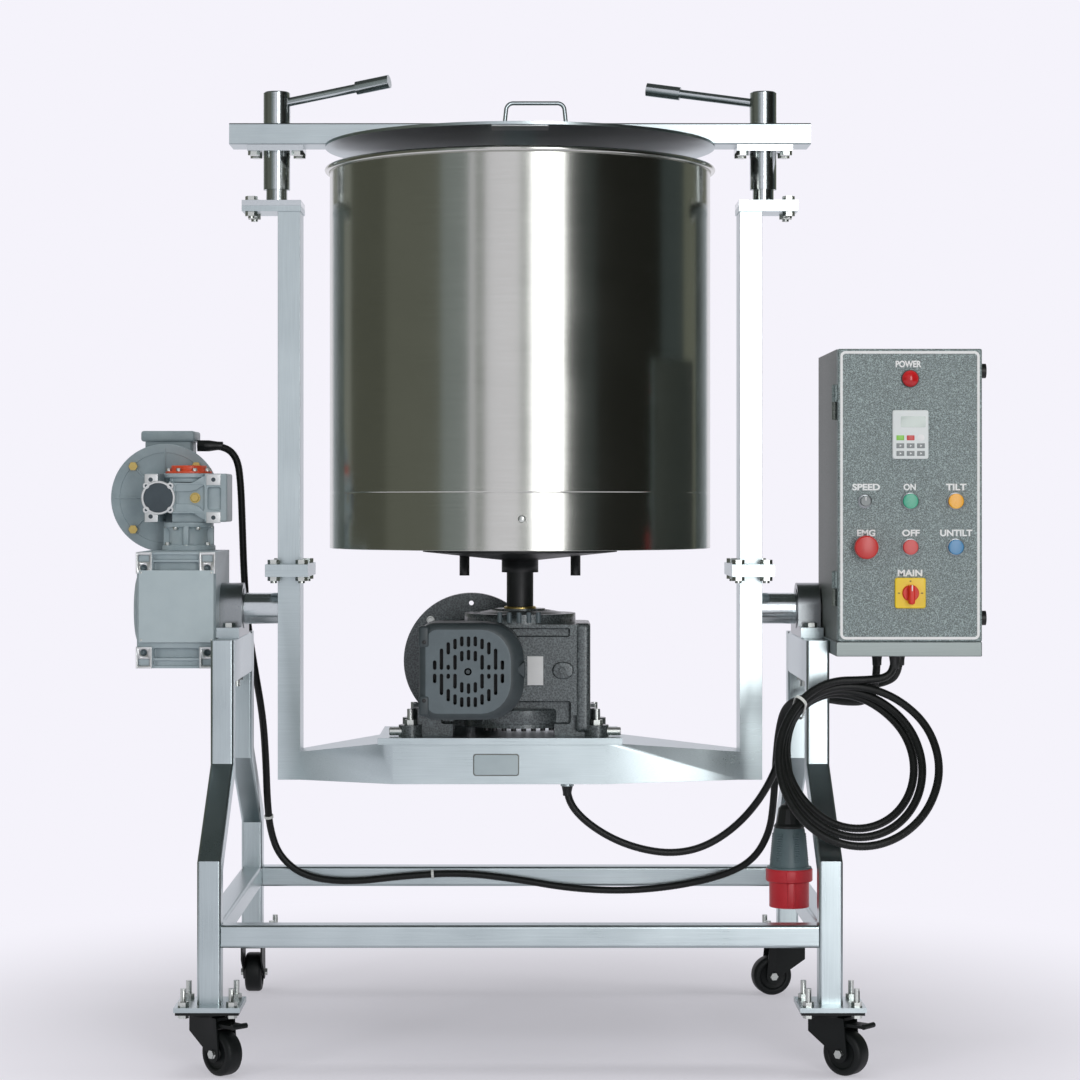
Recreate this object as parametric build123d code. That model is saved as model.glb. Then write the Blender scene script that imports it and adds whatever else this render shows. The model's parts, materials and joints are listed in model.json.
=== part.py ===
"""Tilting chocolate grinder: a stainless drum with granite stones, hung in a tilting yoke.

Everything is modelled about the drum's axis, X to the right, Y to the rear, floor at zero,
and moved at the end so that the origin is the middle of the footprint.
"""
import os
from math import cos, exp, pi, radians, sin, sqrt, tan

from build123d import *

# Fits and gaps, in millimetres
RUN = 0.05
GAP = 0.3
HOLE_CLEAR = 0.5

# Base frame of square tube
TUBE = 40.0
TUBE_WALL = 3.0
FRAME_X = 517.0
LEG_Y = 375.0
UPRIGHT_Y = 170.0
KNEE_Z = 344.0
SHOULDER_Z = 487.0
FRAME_TOP = 711.0
TOP_RAIL_HEIGHT = 76.0
CROSS_RAIL_Z = 229.0
CROSS_RAIL_HEIGHT = 38.0

# Feet and casters
CASTER_HEIGHT = 109.0
CASTER_PLATE = 105.0
CASTER_PLATE_T = 5.0
FOOT_PLATE = 110.0
FOOT_PLATE_T = 8.0
FOOT_BOLT_PITCH = 80.0
FOOT_BOLT_R = 5.0
FOOT_BOLT_STAND = 30.0
WHEEL_R = 37.5
WHEEL_WIDTH = 32.0
WHEEL_EDGE_R = 7.0
CASTER_TRAIL = 32.0
CASTER_AXLE_R = 4.0
FORK_SHEET = 3.0
PEDAL_REACH = 46.0
CASTER_YAW = {
    "front_left": -45.0,
    "front_right": -40.0,
    "rear_left": 90.0,
    "rear_right": 190.0,
}

# Trunnions and pillow blocks
PILLOW_AXIS = 49.0
PILLOW_LENGTH = 184.0
PILLOW_FOOT = 18.0
PILLOW_R = 46.0
PILLOW_BOLT_PITCH = 137.0
PILLOW_BOLT_R = 6.0
JOURNAL_R = 20.0
SLEEVE_R = 28.0

# Tilting yoke
POST_X = 413.0
POST_WIDTH = 40.0
POST_DEPTH = 80.0
POST_WALL = 4.0
BEAM_BOTTOM = 455.0
BEAM_HEIGHT = 70.0
BEAM_END_HEIGHT = 50.0
BEAM_MID_X = (-222.0, 148.0)
BEAM_MID_DEPTH = 240.0
DRIVE_PLATE_X = (-250.0, 180.0)
DRIVE_PLATE_DEPTH = 260.0
DRIVE_PLATE_T = 12.0
MID_JOINT_Z = 830.0
MID_FLANGE_T = 11.0
MID_FLANGE_WIDTH = 76.0
MID_FLANGE_DEPTH = 190.0
TOP_FLANGE_T = 10.0
TOP_FLANGE_X = (391.0, 497.0)
TOP_FLANGE_DEPTH = 90.0
YOKE_BOLT_R = 6.0

# Crossbar and its clamps
CLAMP_X = 438.0
CLAMP_SHAFT_R = 19.0
CLAMP_SHAFT_HEIGHT = 22.0
CLAMP_SLEEVE_R = 24.0
CLAMP_PLATE = 100.0
CLAMP_PLATE_T = 11.0
CLAMP_STUD_R = 10.0
CLAMP_STUD_STAND = 40.0
CROSSBAR_Z = 1591.0
CLAMP_STACK = 110.0
CROSSBAR_HEIGHT = 38.0
CROSSBAR_DEPTH = 80.0
CROSSBAR_LENGTH = 1040.0
LEVER_BOSS_HEIGHT = 60.0
LEVER_ROD_R = 8.0
LEVER_GRIP_R = 12.0
LEVER_GRIP_LENGTH = 62.0
LEVER_REACH = 215.0
LEVER_RISE = 9.0
LEVER_YAW = {"left": -15.0, "right": 168.0}

# Drum and what turns with it
DRUM_R = 342.0
DRUM_WALL = 3.0
DRUM_SKIRT = 15.0
DRUM_BEAD_R = 5.0
DRUM_FLOOR_T = 4.0
STONE_THICK = 87.0
STONE_GAP = 1.0
HUB_DISH_R = 175.0
HUB_HEIGHT = 59.0
HUB_DISH_DEPTH = 22.0
HUB_CLEAR = 65.0
HUB_R = 33.0
HUB_STUD_X = 100.0
HUB_STUD_R = 9.0
SHAFT_R = 24.0

# Grinding rollers and their carrier
ROLLER_R = 200.0
ROLLER_WIDTH = 150.0
ROLLER_INNER_X = 92.0
AXLE_R = 30.0
CARRIER_BAR = 60.0
CARRIER_BLOCK = 80.0
AXLE_COLLAR_R = 45.0
AXLE_COLLAR_T = 10.0
SCRAPER_T = 6.0
SCRAPER_WIDTH = 80.0

# Lid
LID_R = 350.0
LID_T = 5.0
LID_CLEAR = 35.0
LID_SPLIT_Y = -195.0
HINGE_R = 3.7
HINGE_PIN_R = 2.0
HINGE_LENGTH = 100.0
HINGE_LEAF = 26.0
HINGE_LEAF_T = 2.0
HANDLE_X = 26.0
HANDLE_Y = -285.0
HANDLE_WIDTH = 112.0
HANDLE_HEIGHT = 42.0
HANDLE_WIRE_R = 3.5

# Main drive under the drum
MAIN_CENTRES = 90.0
MAIN_WORM_RISE = 121.0
MAIN_HEIGHT = 223.0
MAIN_BODY_X = (-150.0, 125.0)
MAIN_BODY_DEPTH = 200.0
MAIN_COVER_R = 100.0
MAIN_WHEEL_R = 65.0
MAIN_WHEEL_WIDTH = 50.0
MAIN_WORM_R = 24.5
MAIN_SHAFT_R = 14.0
MAIN_FLANGE_R = 125.0
MAIN_FLANGE_T = 15.0
MAIN_FLANGE_CLEAR = 3.0
MAIN_FLANGE_HOLE_R = 7.0
MAIN_NECK_R = 80.0
MAIN_FOOT_X = (-194.0, 136.0)
MAIN_FOOT_Y = 85.0
MAIN_FOOT_HEIGHT = 38.0
MAIN_TOE_R = 21.0
MAIN_TOE_HEIGHT = 20.0
MOTOR_BODY_R = 88.0
MOTOR_BODY_LENGTH = 255.0
MOTOR_CAP_LENGTH = 55.0
COWL_WIDTH = 182.0
COWL_HEIGHT = 168.0
COWL_LENGTH = 105.0
COWL_WALL = 3.0
COWL_SHIFT = 6.0
ROTOR_R = 58.0
ROTOR_LENGTH = 140.0

# Tilt drive on the left trunnion
TILT_CENTRES = 90.0
TILT_BOX_WIDTH = 140.0
TILT_BOX_FRONT = 105.0
TILT_BOX_REAR = 135.0
TILT_BOX_BELOW = 102.0
TILT_BOX_ABOVE = 103.0
TILT_LUG = (28.0, 38.0, 6.0)
TILT_BORE_R = 17.5
TILT_WHEEL_R = 64.0
TILT_WHEEL_WIDTH = 40.0
TILT_WORM_R = 25.5
TILT_WORM_SHAFT_R = 12.0
ADAPTOR_R = 40.0
ADAPTOR_HEIGHT = 52.0
PRIMARY_CENTRES = 50.0
PRIMARY_WIDTH = 150.0
PRIMARY_DEPTH = 95.0
PRIMARY_HEIGHT = 88.0
PRIMARY_CAP_R = 40.0
PRIMARY_CAP_T = 15.0
PRIMARY_WHEEL_R = 36.0
TILT_FLANGE_R = 100.0
TILT_FLANGE_T = 12.0
TILT_FLANGE_PCD = 165.0
TILT_MOTOR_R = 70.0
TILT_MOTOR_LENGTH = 248.0
TERMINAL_BOX = (100.0, 100.0, 55.0)

# Control panel on the right
PANEL_WIDTH = 245.0
PANEL_HEIGHT = 498.0
PANEL_FRONT = -290.0
PANEL_DEPTH = 310.0
PANEL_SHEET = 2.0
PANEL_BRACKET = 25.0
PANEL_OFFSET = 3.0
DOOR_DEPTH = 20.0
DOOR_GAP = 0.5
DOOR_HINGE_R = 4.0
DOOR_PIN_R = 2.0
DOOR_KNUCKLE = 30.0
DOOR_KNUCKLE_INSET = 60.0
BUTTON_COLUMN = 77.0
LAMP_DROP = 51.0
KEYPAD_DROP = 146.0
START_DROP = 259.0
STOP_DROP = 337.0
MAIN_DROP = 415.0
KEYPAD = (61.0, 83.0, 8.0)
BUTTON_R = 10.5
BUTTON_STAND = 4.0
BEZEL_R = 15.0
BEZEL_T = 7.0
ESTOP_R = 20.0
ESTOP_CAP_T = 17.0
SPEED_KNOB_R = 9.0
SPEED_KNOB_T = 16.0
MAIN_PLATE = 52.0
MAIN_PLATE_T = 6.0
MAIN_KNOB_R = 17.0
LATCH_R = 12.5
LATCH_T = 12.0
LATCH_INSETS = (39.0, 36.0)
LATCH_Y = -250.0
GLAND_R = 12.0
GLAND_LENGTH = 22.0
CHASSIS_MARGIN = 19.0
CONTACTOR_GAP = 8.0
DRIVE_DROP = (48.0, 228.0)
CONTACTOR_DROP = (263.0, 348.0)
STRIP_DROP = (398.0, 428.0)
DRIVE_SHARE = (0.57, 0.42)
CONTACTOR_SHARE = 0.27
STRIP_SHARE = 0.13

# Leads and the plug
LEAD_R = 7.0
COIL_TURNS = 3.25
COIL_R = 136.0
COIL_SHRINK = 12.0
COIL_STEP = 17.6
COIL_CENTRE = (567.0, -344.0, 509.0)
COIL_LEAN = 0.6
COIL_START_DEG = 75.0
COIL_TIE_DEG = 135.0
COIL_TOP_TURN = 0.09
COIL_SLACK = 16.0
COIL_ENTRY = 10.0
PLUG_AT = (461.0, -250.0)
PLUG_BOTTOM = 259.0
PLUG_BODY_R = 34.0
PLUG_BODY_LENGTH = 44.0
PLUG_COLLAR_R = 40.0
PLUG_COLLAR_T = 22.0
PLUG_GRIP_R = 29.0
PLUG_GRIP_LENGTH = 70.0
PLUG_NUT_R = 20.0
PLUG_NUT_LENGTH = 40.0
TIE_T = 1.4
TIE_WIDTH = 5.0

# Heights and places that follow from the sizes above
LEG_BOTTOM = CASTER_HEIGHT + FOOT_PLATE_T
TILT_Z = FRAME_TOP + PILLOW_AXIS
FRAME_OUT = FRAME_X + TUBE / 2
FRAME_IN = FRAME_X - TUBE / 2
POST_OUT = POST_X + POST_WIDTH / 2
POST_IN = POST_X - POST_WIDTH / 2
BEAM_TOP = BEAM_BOTTOM + BEAM_HEIGHT
DRIVE_Z = BEAM_TOP + DRIVE_PLATE_T
CROSSBAR_TOP = CROSSBAR_Z + CROSSBAR_HEIGHT
TOP_JOINT_Z = CROSSBAR_Z - CLAMP_STACK
MAIN_WORM_Z = DRIVE_Z + MAIN_WORM_RISE
MAIN_TOP = DRIVE_Z + MAIN_HEIGHT
HUB_BOTTOM = MAIN_TOP + HUB_CLEAR
DRUM_FLOOR_Z = HUB_BOTTOM + HUB_HEIGHT
DRUM_BOTTOM = DRUM_FLOOR_Z - DRUM_SKIRT
DRUM_TOP = CROSSBAR_Z - LID_T - LID_CLEAR
STONE_Z = DRUM_FLOOR_Z + DRUM_FLOOR_T
STONE_TOP = STONE_Z + STONE_THICK
AXLE_Z = STONE_TOP + GAP + ROLLER_R
ROLLER_OUTER_X = ROLLER_INNER_X + ROLLER_WIDTH
HINGE_Z = CROSSBAR_Z + HINGE_R + GAP
MOTOR_X = -MAIN_CENTRES
COWL_BACK = -MAIN_BODY_DEPTH / 2
COWL_FRONT = COWL_BACK - COWL_LENGTH
FLANGE_FRONT = max(DRIVE_PLATE_DEPTH, MAIN_BODY_DEPTH) / 2 + MAIN_FLANGE_CLEAR
GEARBOX_FACE = FLANGE_FRONT + MAIN_FLANGE_T
MOTOR_FACE = GEARBOX_FACE + MAIN_FLANGE_T
MOTOR_REAR = MOTOR_FACE + MOTOR_BODY_LENGTH
ROTOR_START = MOTOR_FACE + 25.0
ROTOR_END = ROTOR_START + ROTOR_LENGTH
TILT_BOX_X = -FRAME_OUT - TILT_BOX_WIDTH / 2
TILT_BOX_TOP = TILT_Z + TILT_BOX_ABOVE
PRIMARY_Z = TILT_BOX_TOP + ADAPTOR_HEIGHT
PRIMARY_AXIS_Z = PRIMARY_Z + PRIMARY_HEIGHT / 2
PRIMARY_FRONT = TILT_CENTRES - PRIMARY_DEPTH / 2
PRIMARY_REAR = TILT_CENTRES + PRIMARY_DEPTH / 2
TILT_MOTOR_X = TILT_BOX_X - PRIMARY_CENTRES
TILT_MOTOR_FACE = PRIMARY_REAR + TILT_FLANGE_T
TERMINAL_Z = PRIMARY_AXIS_Z + TILT_MOTOR_R
TERMINAL_Y = TILT_MOTOR_FACE + 78.0
PANEL_X = FRAME_OUT + PANEL_OFFSET
PANEL_Z = FRAME_TOP + PANEL_OFFSET
PANEL_TOP = PANEL_Z + PANEL_HEIGHT
LATCH_HEIGHTS = (PANEL_Z + LATCH_INSETS[0], PANEL_TOP - LATCH_INSETS[1])
PANEL_MID_X = PANEL_X + PANEL_WIDTH / 2
PANEL_BACK = PANEL_FRONT + PANEL_DEPTH
DOOR_BACK = PANEL_FRONT + DOOR_DEPTH
SHELL_FRONT = DOOR_BACK + DOOR_GAP
DOOR_AXIS_X = PANEL_X - DOOR_HINGE_R
GLAND_BOTTOM = PANEL_Z - GLAND_LENGTH
MAINS_GLAND = (642.0, -248.0)
TILT_GLAND = (624.0, -150.0)
DRIVE_GLAND = (664.0, -150.0)
BEAM_GLAND = (85.0, 0.0)
BEAM_GLAND_LENGTH = 15.0


def block(x, y, z):
    """Box between two limits on each axis."""
    centre = Pos((x[0] + x[1]) / 2, (y[0] + y[1]) / 2, (z[0] + z[1]) / 2)
    return centre * Box(x[1] - x[0], y[1] - y[0], z[1] - z[0])


def rod_x(radius, x, y, z):
    """Cylinder along X between two limits."""
    return Pos((x[0] + x[1]) / 2, y, z) * Rot(0, 90, 0) * Cylinder(radius, x[1] - x[0])


def rod_y(radius, x, y, z):
    """Cylinder along Y between two limits."""
    return Pos(x, (y[0] + y[1]) / 2, z) * Rot(90, 0, 0) * Cylinder(radius, y[1] - y[0])


def rod_z(radius, x, y, z):
    """Cylinder along Z between two limits."""
    return Pos(x, y, (z[0] + z[1]) / 2) * Cylinder(radius, z[1] - z[0])


def hex_z(radius, x, y, z):
    """Hexagon prism along Z between two limits."""
    face = Pos(x, y, z[0]) * RegularPolygon(radius, 6)
    return extrude(face, z[1] - z[0])


def hex_y(radius, x, y, z):
    """Hexagon prism along Y between two limits."""
    face = Pos(x, y[1], z) * Rot(90, 0, 0) * RegularPolygon(radius, 6)
    return extrude(face, y[1] - y[0])


def plate_yz(points, x):
    """Plate cut to an outline in Y and Z, between two limits on X."""
    face = Plane.YZ * make_face(Polyline(*points, close=True))
    return Pos(X=x[0]) * extrude(face, x[1] - x[0])


def turned(points):
    """Ring or disc turned about the drum's axis from an outline in radius and Z."""
    face = Plane.XZ * make_face(Polyline(*points, close=True))
    return revolve(face, Axis.Z)


def both_sides(shape):
    """The shape and its mirror image in the YZ plane."""
    return [shape, mirror(shape, Plane.YZ)]


def band(points, width):
    """Outline of a run of tube: the line through the points, widened and mitred."""
    normals = []
    for start, end in zip(points, points[1:]):
        run = Vector(end[0] - start[0], end[1] - start[1]).normalized()
        normals.append(Vector(-run.Y, run.X))
    left = []
    right = []
    for index, point in enumerate(points):
        first = normals[max(index - 1, 0)]
        second = normals[min(index, len(normals) - 1)]
        mitre = (first + second).normalized()
        reach = mitre * (width / 2 / mitre.dot(first))
        left.append((point[0] + reach.X, point[1] + reach.Y))
        right.append((point[0] - reach.X, point[1] - reach.Y))
    return left + right[::-1]


def band_runs(points, width):
    """Outlines of the straight runs of a band, parted at its mitres."""
    outline = band(points, width)
    left = outline[:len(points)]
    right = outline[len(points):][::-1]
    ends = zip(left, left[1:], right[1:], right)
    return [list(corners) for corners in ends]


def through_bolt(radius, x, y, head, nut, stand):
    """Hexagon bolt along Z: head seated at one height, nut below another, thread beyond it."""
    across = radius * 1.85
    head_t = radius * 1.3
    top = hex_z(across, x, y, (head, head + head_t))
    lower = hex_z(across, x, y, (nut - head_t, nut))
    shank = rod_z(radius, x, y, (nut - head_t - stand, head))
    return top + lower + shank


# Base frame

def leg_line(end, wall):
    """Middle line of a leg, knee and upright, drawn in at its top by the given wall."""
    return [
        (end * LEG_Y, LEG_BOTTOM - wall),
        (end * LEG_Y, KNEE_Z),
        (end * UPRIGHT_Y, SHOULDER_Z),
        (end * UPRIGHT_Y, FRAME_TOP - wall),
    ]


def side_frame(side):
    """Side frame of welded tubes: legs, knees and uprights parted at their mitres, and two rails."""
    x = side * FRAME_X
    half = TUBE / 2 - TUBE_WALL
    outer = (x - TUBE / 2, x + TUBE / 2)
    inner = (x - half, x + half)
    tubes = []
    for end in (-1, 1):
        cores = band_runs(leg_line(end, TUBE_WALL), 2 * half)
        for run, core in zip(band_runs(leg_line(end, 0.0), TUBE), cores):
            tubes.append(plate_yz(run, outer) - plate_yz(core, inner))
    rails = [
        (UPRIGHT_Y - TUBE / 2, FRAME_TOP - TOP_RAIL_HEIGHT, FRAME_TOP),
        (LEG_Y - TUBE / 2, CROSS_RAIL_Z - CROSS_RAIL_HEIGHT / 2, CROSS_RAIL_Z + CROSS_RAIL_HEIGHT / 2),
    ]
    holes = []
    for end in (-1, 1):
        span = (FRAME_TOP - TOP_RAIL_HEIGHT - 1, FRAME_TOP + 1)
        holes.append(rod_z(PILLOW_BOLT_R + HOLE_CLEAR, x, end * PILLOW_BOLT_PITCH / 2, span))
    for reach, low, high in rails:
        core = block(inner, (-reach - 1, reach + 1), (low + TUBE_WALL, high - TUBE_WALL))
        tube = block(outer, (-reach, reach), (low, high)) - core
        tubes.append(tube - holes if high == FRAME_TOP else tube)
    return tubes


def cross_rail(end):
    """Rail of rectangular tube between the two side frames."""
    y = end * LEG_Y
    half = CROSS_RAIL_HEIGHT / 2
    z = (CROSS_RAIL_Z - half, CROSS_RAIL_Z + half)
    bar = block((-FRAME_IN, FRAME_IN), (y - TUBE / 2, y + TUBE / 2), z)
    inside = TUBE / 2 - TUBE_WALL
    core = block(
        (-FRAME_IN - 1, FRAME_IN + 1),
        (y - inside, y + inside),
        (z[0] + TUBE_WALL, z[1] - TUBE_WALL),
    )
    return bar - core


def foot_places():
    """The four caster stations, with their names."""
    return {
        "front_left": (-FRAME_X, -LEG_Y),
        "front_right": (FRAME_X, -LEG_Y),
        "rear_left": (-FRAME_X, LEG_Y),
        "rear_right": (FRAME_X, LEG_Y),
    }


def bolt_square(x, y):
    """The four bolt places of a foot plate."""
    half = FOOT_BOLT_PITCH / 2
    return [(x + dx * half, y + dy * half) for dx in (-1, 1) for dy in (-1, 1)]


def foot_plates():
    """Welded foot plates and the casters' own top plates with their swivel collars."""
    solids = []
    for x, y in foot_places().values():
        holes = [rod_z(FOOT_BOLT_R + HOLE_CLEAR, bx, by, (0, LEG_BOTTOM + 1)) for bx, by in bolt_square(x, y)]
        half = FOOT_PLATE / 2
        plate = block((x - half, x + half), (y - half, y + half), (CASTER_HEIGHT, LEG_BOTTOM))
        solids.append(plate - holes)
        half = CASTER_PLATE / 2
        low = CASTER_HEIGHT - CASTER_PLATE_T
        top = block((x - half, x + half), (y - half, y + half), (low, CASTER_HEIGHT))
        collar = rod_z(SWIVEL_COLLAR_R, x, y, (SWIVEL_TOP + GAP, low))
        solids.append(top + collar - holes)
    return solids


SWIVEL_COLLAR_R = 30.0
SWIVEL_HEAD_R = 34.0
SWIVEL_TOP = CASTER_HEIGHT - CASTER_PLATE_T - 4.0
CROWN_TOP = SWIVEL_TOP - 3.0
CROWN_T = 5.0
FORK_IN = WHEEL_WIDTH / 2 + 1.5
FORK_OUT = FORK_IN + FORK_SHEET
FORK_LUG_R = 14.0
PEDAL_PIN_R = 3.0
PEDAL_HUB_R = 6.0
PEDAL_X = CASTER_TRAIL - 2.0
PEDAL_Z = 2 * WHEEL_R + PEDAL_HUB_R + 3.0


def caster_fork(braked):
    """Pressed fork with its swivel head and axle, trailing along X."""
    cheek_line = [
        (-SWIVEL_HEAD_R + 4, CROWN_TOP),
        (-SWIVEL_HEAD_R + 4, CROWN_TOP - 28),
        (CASTER_TRAIL - FORK_LUG_R, WHEEL_R),
        (CASTER_TRAIL + FORK_LUG_R, WHEEL_R),
        (CASTER_TRAIL + 8, CROWN_TOP),
    ]
    face = Plane.XZ * make_face(Polyline(*cheek_line, close=True))
    cheek = extrude(face, FORK_SHEET)
    lug = rod_y(FORK_LUG_R, CASTER_TRAIL, (-FORK_SHEET, 0), WHEEL_R)
    cheek = cheek + lug
    near = Pos(Y=-FORK_IN) * cheek
    far = Pos(Y=FORK_OUT) * cheek
    crown = block(
        (-SWIVEL_HEAD_R + 4, CASTER_TRAIL + 8),
        (-FORK_OUT, FORK_OUT),
        (CROWN_TOP - CROWN_T, CROWN_TOP),
    )
    head = rod_z(SWIVEL_HEAD_R, 0, 0, (CROWN_TOP, SWIVEL_TOP))
    axle = rod_y(CASTER_AXLE_R, CASTER_TRAIL, (-FORK_OUT, FORK_OUT), WHEEL_R)
    ends = [
        hex_y(CASTER_AXLE_R * 1.9, CASTER_TRAIL, (-FORK_OUT - 5, -FORK_OUT), WHEEL_R),
        hex_y(CASTER_AXLE_R * 1.9, CASTER_TRAIL, (FORK_OUT, FORK_OUT + 5), WHEEL_R),
    ]
    fork = near + far + crown + head + axle + ends
    if braked:
        fork = fork + rod_y(PEDAL_PIN_R, PEDAL_X, (-FORK_OUT, FORK_OUT), PEDAL_Z)
    return fork


def caster_wheel():
    """Moulded wheel with rounded edges and a running bore."""
    wheel = rod_y(WHEEL_R, CASTER_TRAIL, (-WHEEL_WIDTH / 2, WHEEL_WIDTH / 2), WHEEL_R)
    wheel = fillet(wheel.edges(), WHEEL_EDGE_R)
    bore = rod_y(CASTER_AXLE_R + RUN, CASTER_TRAIL, (-WHEEL_WIDTH, WHEEL_WIDTH), WHEEL_R)
    return wheel - bore


def brake_pedal():
    """Foot pedal that turns on a pin between the fork's cheeks."""
    wide = FORK_IN - GAP
    hub = rod_y(PEDAL_HUB_R, PEDAL_X, (-wide, wide), PEDAL_Z)
    arm = block((PEDAL_X, PEDAL_X + PEDAL_REACH), (-wide + 2, wide - 2), (PEDAL_Z - 1, PEDAL_Z + 4))
    tip = rod_y(4.5, PEDAL_X + PEDAL_REACH, (-wide + 2, wide - 2), PEDAL_Z + 2.5)
    bore = rod_y(PEDAL_PIN_R + RUN, PEDAL_X, (-FORK_OUT, FORK_OUT), PEDAL_Z)
    return hub + arm + tip - bore


def casters():
    """Forks, wheels and brake pedals at the four corners."""
    nodes = {}
    for name, (x, y) in foot_places().items():
        braked = name.startswith("front")
        place = Pos(x, y, 0) * Rot(0, 0, CASTER_YAW[name])
        nodes["caster_fork_" + name] = [place * caster_fork(braked)]
        nodes["caster_wheel_" + name] = [place * caster_wheel()]
        if braked:
            nodes["brake_pedal_" + name] = [place * brake_pedal()]
    return nodes


def pillow_block(side):
    """Cast bearing block on the top rail, bored for the journal."""
    x = (side * FRAME_X - TUBE / 2, side * FRAME_X + TUBE / 2)
    foot = block(x, (-PILLOW_LENGTH / 2, PILLOW_LENGTH / 2), (FRAME_TOP, FRAME_TOP + PILLOW_FOOT))
    waist = block(x, (-PILLOW_R, PILLOW_R), (FRAME_TOP, TILT_Z))
    housing = rod_x(PILLOW_R, x, 0, TILT_Z)
    bore = rod_x(JOURNAL_R + RUN, (x[0] - 1, x[1] + 1), 0, TILT_Z)
    holes = []
    for end in (-1, 1):
        y = end * PILLOW_BOLT_PITCH / 2
        span = (FRAME_TOP - 1, FRAME_TOP + PILLOW_FOOT + 1)
        holes.append(rod_z(PILLOW_BOLT_R + HOLE_CLEAR, side * FRAME_X, y, span))
    return foot + waist + housing - bore - holes


def flange_bolt(angle):
    """Hexagon head on the tilt motor's flange."""
    x = TILT_MOTOR_X + TILT_FLANGE_PCD / 2 * cos(radians(angle))
    z = PRIMARY_AXIS_Z + TILT_FLANGE_PCD / 2 * sin(radians(angle))
    return hex_y(8.5, x, (PRIMARY_REAR - 7, PRIMARY_REAR), z)


def base_bolts():
    """Foot, bearing and motor flange bolts of the base."""
    bolts = []
    for x, y in foot_places().values():
        for bx, by in bolt_square(x, y):
            across = FOOT_BOLT_R * 1.85
            low = CASTER_HEIGHT - CASTER_PLATE_T
            head = hex_z(across, bx, by, (low - 6, low))
            nut = hex_z(across, bx, by, (LEG_BOTTOM, LEG_BOTTOM + 8))
            shank = rod_z(FOOT_BOLT_R, bx, by, (low, LEG_BOTTOM + FOOT_BOLT_STAND))
            bolts.append(head + nut + shank)
    for side in (-1, 1):
        for end in (-1, 1):
            y = end * PILLOW_BOLT_PITCH / 2
            head = FRAME_TOP + PILLOW_FOOT
            nut = FRAME_TOP - TOP_RAIL_HEIGHT
            bolts.append(through_bolt(PILLOW_BOLT_R, side * FRAME_X, y, head, nut, 12.0))
    bolts += [flange_bolt(angle) for angle in (45, 135, 225, 315)]
    return bolts


# Tilting yoke

def beam_solid(inset):
    """Beam under the drive: tapered in plan and in height, drawn in by the wall."""
    end = POST_IN - inset
    mid = BEAM_MID_DEPTH / 2 - inset
    tip = POST_DEPTH / 2 - inset
    left, right = BEAM_MID_X[0] + inset, BEAM_MID_X[1] - inset
    plan = [(-end, -tip), (left, -mid), (right, -mid), (end, -tip)]
    plan += [(end, tip), (right, mid), (left, mid), (-end, tip)]
    low = BEAM_BOTTOM + inset
    shoulder = BEAM_BOTTOM + BEAM_END_HEIGHT - inset
    top = BEAM_TOP - inset
    front = [(-end, low), (end, low), (end, shoulder), (DRIVE_PLATE_X[1], top), (DRIVE_PLATE_X[0], top)]
    front += [(-end, shoulder)]
    deep = BEAM_MID_DEPTH
    face = Plane.XZ * make_face(Polyline(*front, close=True))
    slab = Pos(Y=deep / 2) * extrude(face, deep)
    column = Pos(Z=low) * extrude(make_face(Polyline(*plan, close=True)), top - low)
    return slab & column


def yoke_bolt_places(side):
    """Bolt places of a mid flange, in front of and behind the post."""
    x = side * POST_X
    dx = MID_FLANGE_WIDTH / 2 - 2.2 * YOKE_BOLT_R
    dy = (MID_FLANGE_DEPTH + POST_DEPTH) / 4
    return [(x + a * dx, b * dy) for a in (-1, 1) for b in (-1, 1)]


def flange_plate(side, z):
    """Mid flange plate with its bolt holes."""
    x = side * POST_X
    half = MID_FLANGE_WIDTH / 2
    deep = MID_FLANGE_DEPTH / 2
    plate = block((x - half, x + half), (-deep, deep), z)
    holes = [rod_z(YOKE_BOLT_R + HOLE_CLEAR, bx, by, (z[0] - 1, z[1] + 1))
             for bx, by in yoke_bolt_places(side)]
    return plate - holes


def post_tube(side, z, inside_z):
    """Rectangular tube of the yoke and the hollow inside it."""
    x = side * POST_X
    half = POST_WIDTH / 2
    deep = POST_DEPTH / 2
    outer = block((x - half, x + half), (-deep, deep), z)
    half -= POST_WALL
    deep -= POST_WALL
    inner = block((x - half, x + half), (-deep, deep), inside_z)
    return outer, inner


def main_foot_places():
    """Bolt places of the main gearbox's feet."""
    return [(x, y) for x in MAIN_FOOT_X for y in (-MAIN_FOOT_Y, MAIN_FOOT_Y)]


def yoke_cradle():
    """Beam, lower posts, lower flanges and drive plate, welded into one."""
    beam = beam_solid(0.0) - beam_solid(POST_WALL)
    vent = rod_z(6.0, 0, 0, (BEAM_BOTTOM - 1, BEAM_BOTTOM + POST_WALL + 1))
    deep = DRIVE_PLATE_DEPTH / 2
    plate = block(DRIVE_PLATE_X, (-deep, deep), (BEAM_TOP, DRIVE_Z))
    holes = [rod_z(YOKE_BOLT_R + HOLE_CLEAR, x, y, (BEAM_TOP - 20, DRIVE_Z + 1))
             for x, y in main_foot_places()]
    cradle = beam + plate
    for side in (-1, 1):
        bottom = MID_JOINT_Z - MID_FLANGE_T
        outer, inner = post_tube(side, (BEAM_BOTTOM, bottom), (BEAM_BOTTOM + POST_WALL, MID_JOINT_Z + 1))
        cradle = cradle + (outer + flange_plate(side, (bottom, MID_JOINT_Z)) - inner)
    gland = rod_z(GLAND_R, *BEAM_GLAND, (BEAM_BOTTOM - BEAM_GLAND_LENGTH, BEAM_BOTTOM))
    return cradle + gland - vent - holes


def top_bolt_places(side):
    """Bolt places of the flange pair under a clamp post."""
    x = side * (TOP_FLANGE_X[1] - 16)
    return [(x, y) for y in (-TOP_FLANGE_DEPTH / 3, TOP_FLANGE_DEPTH / 3)]


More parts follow.
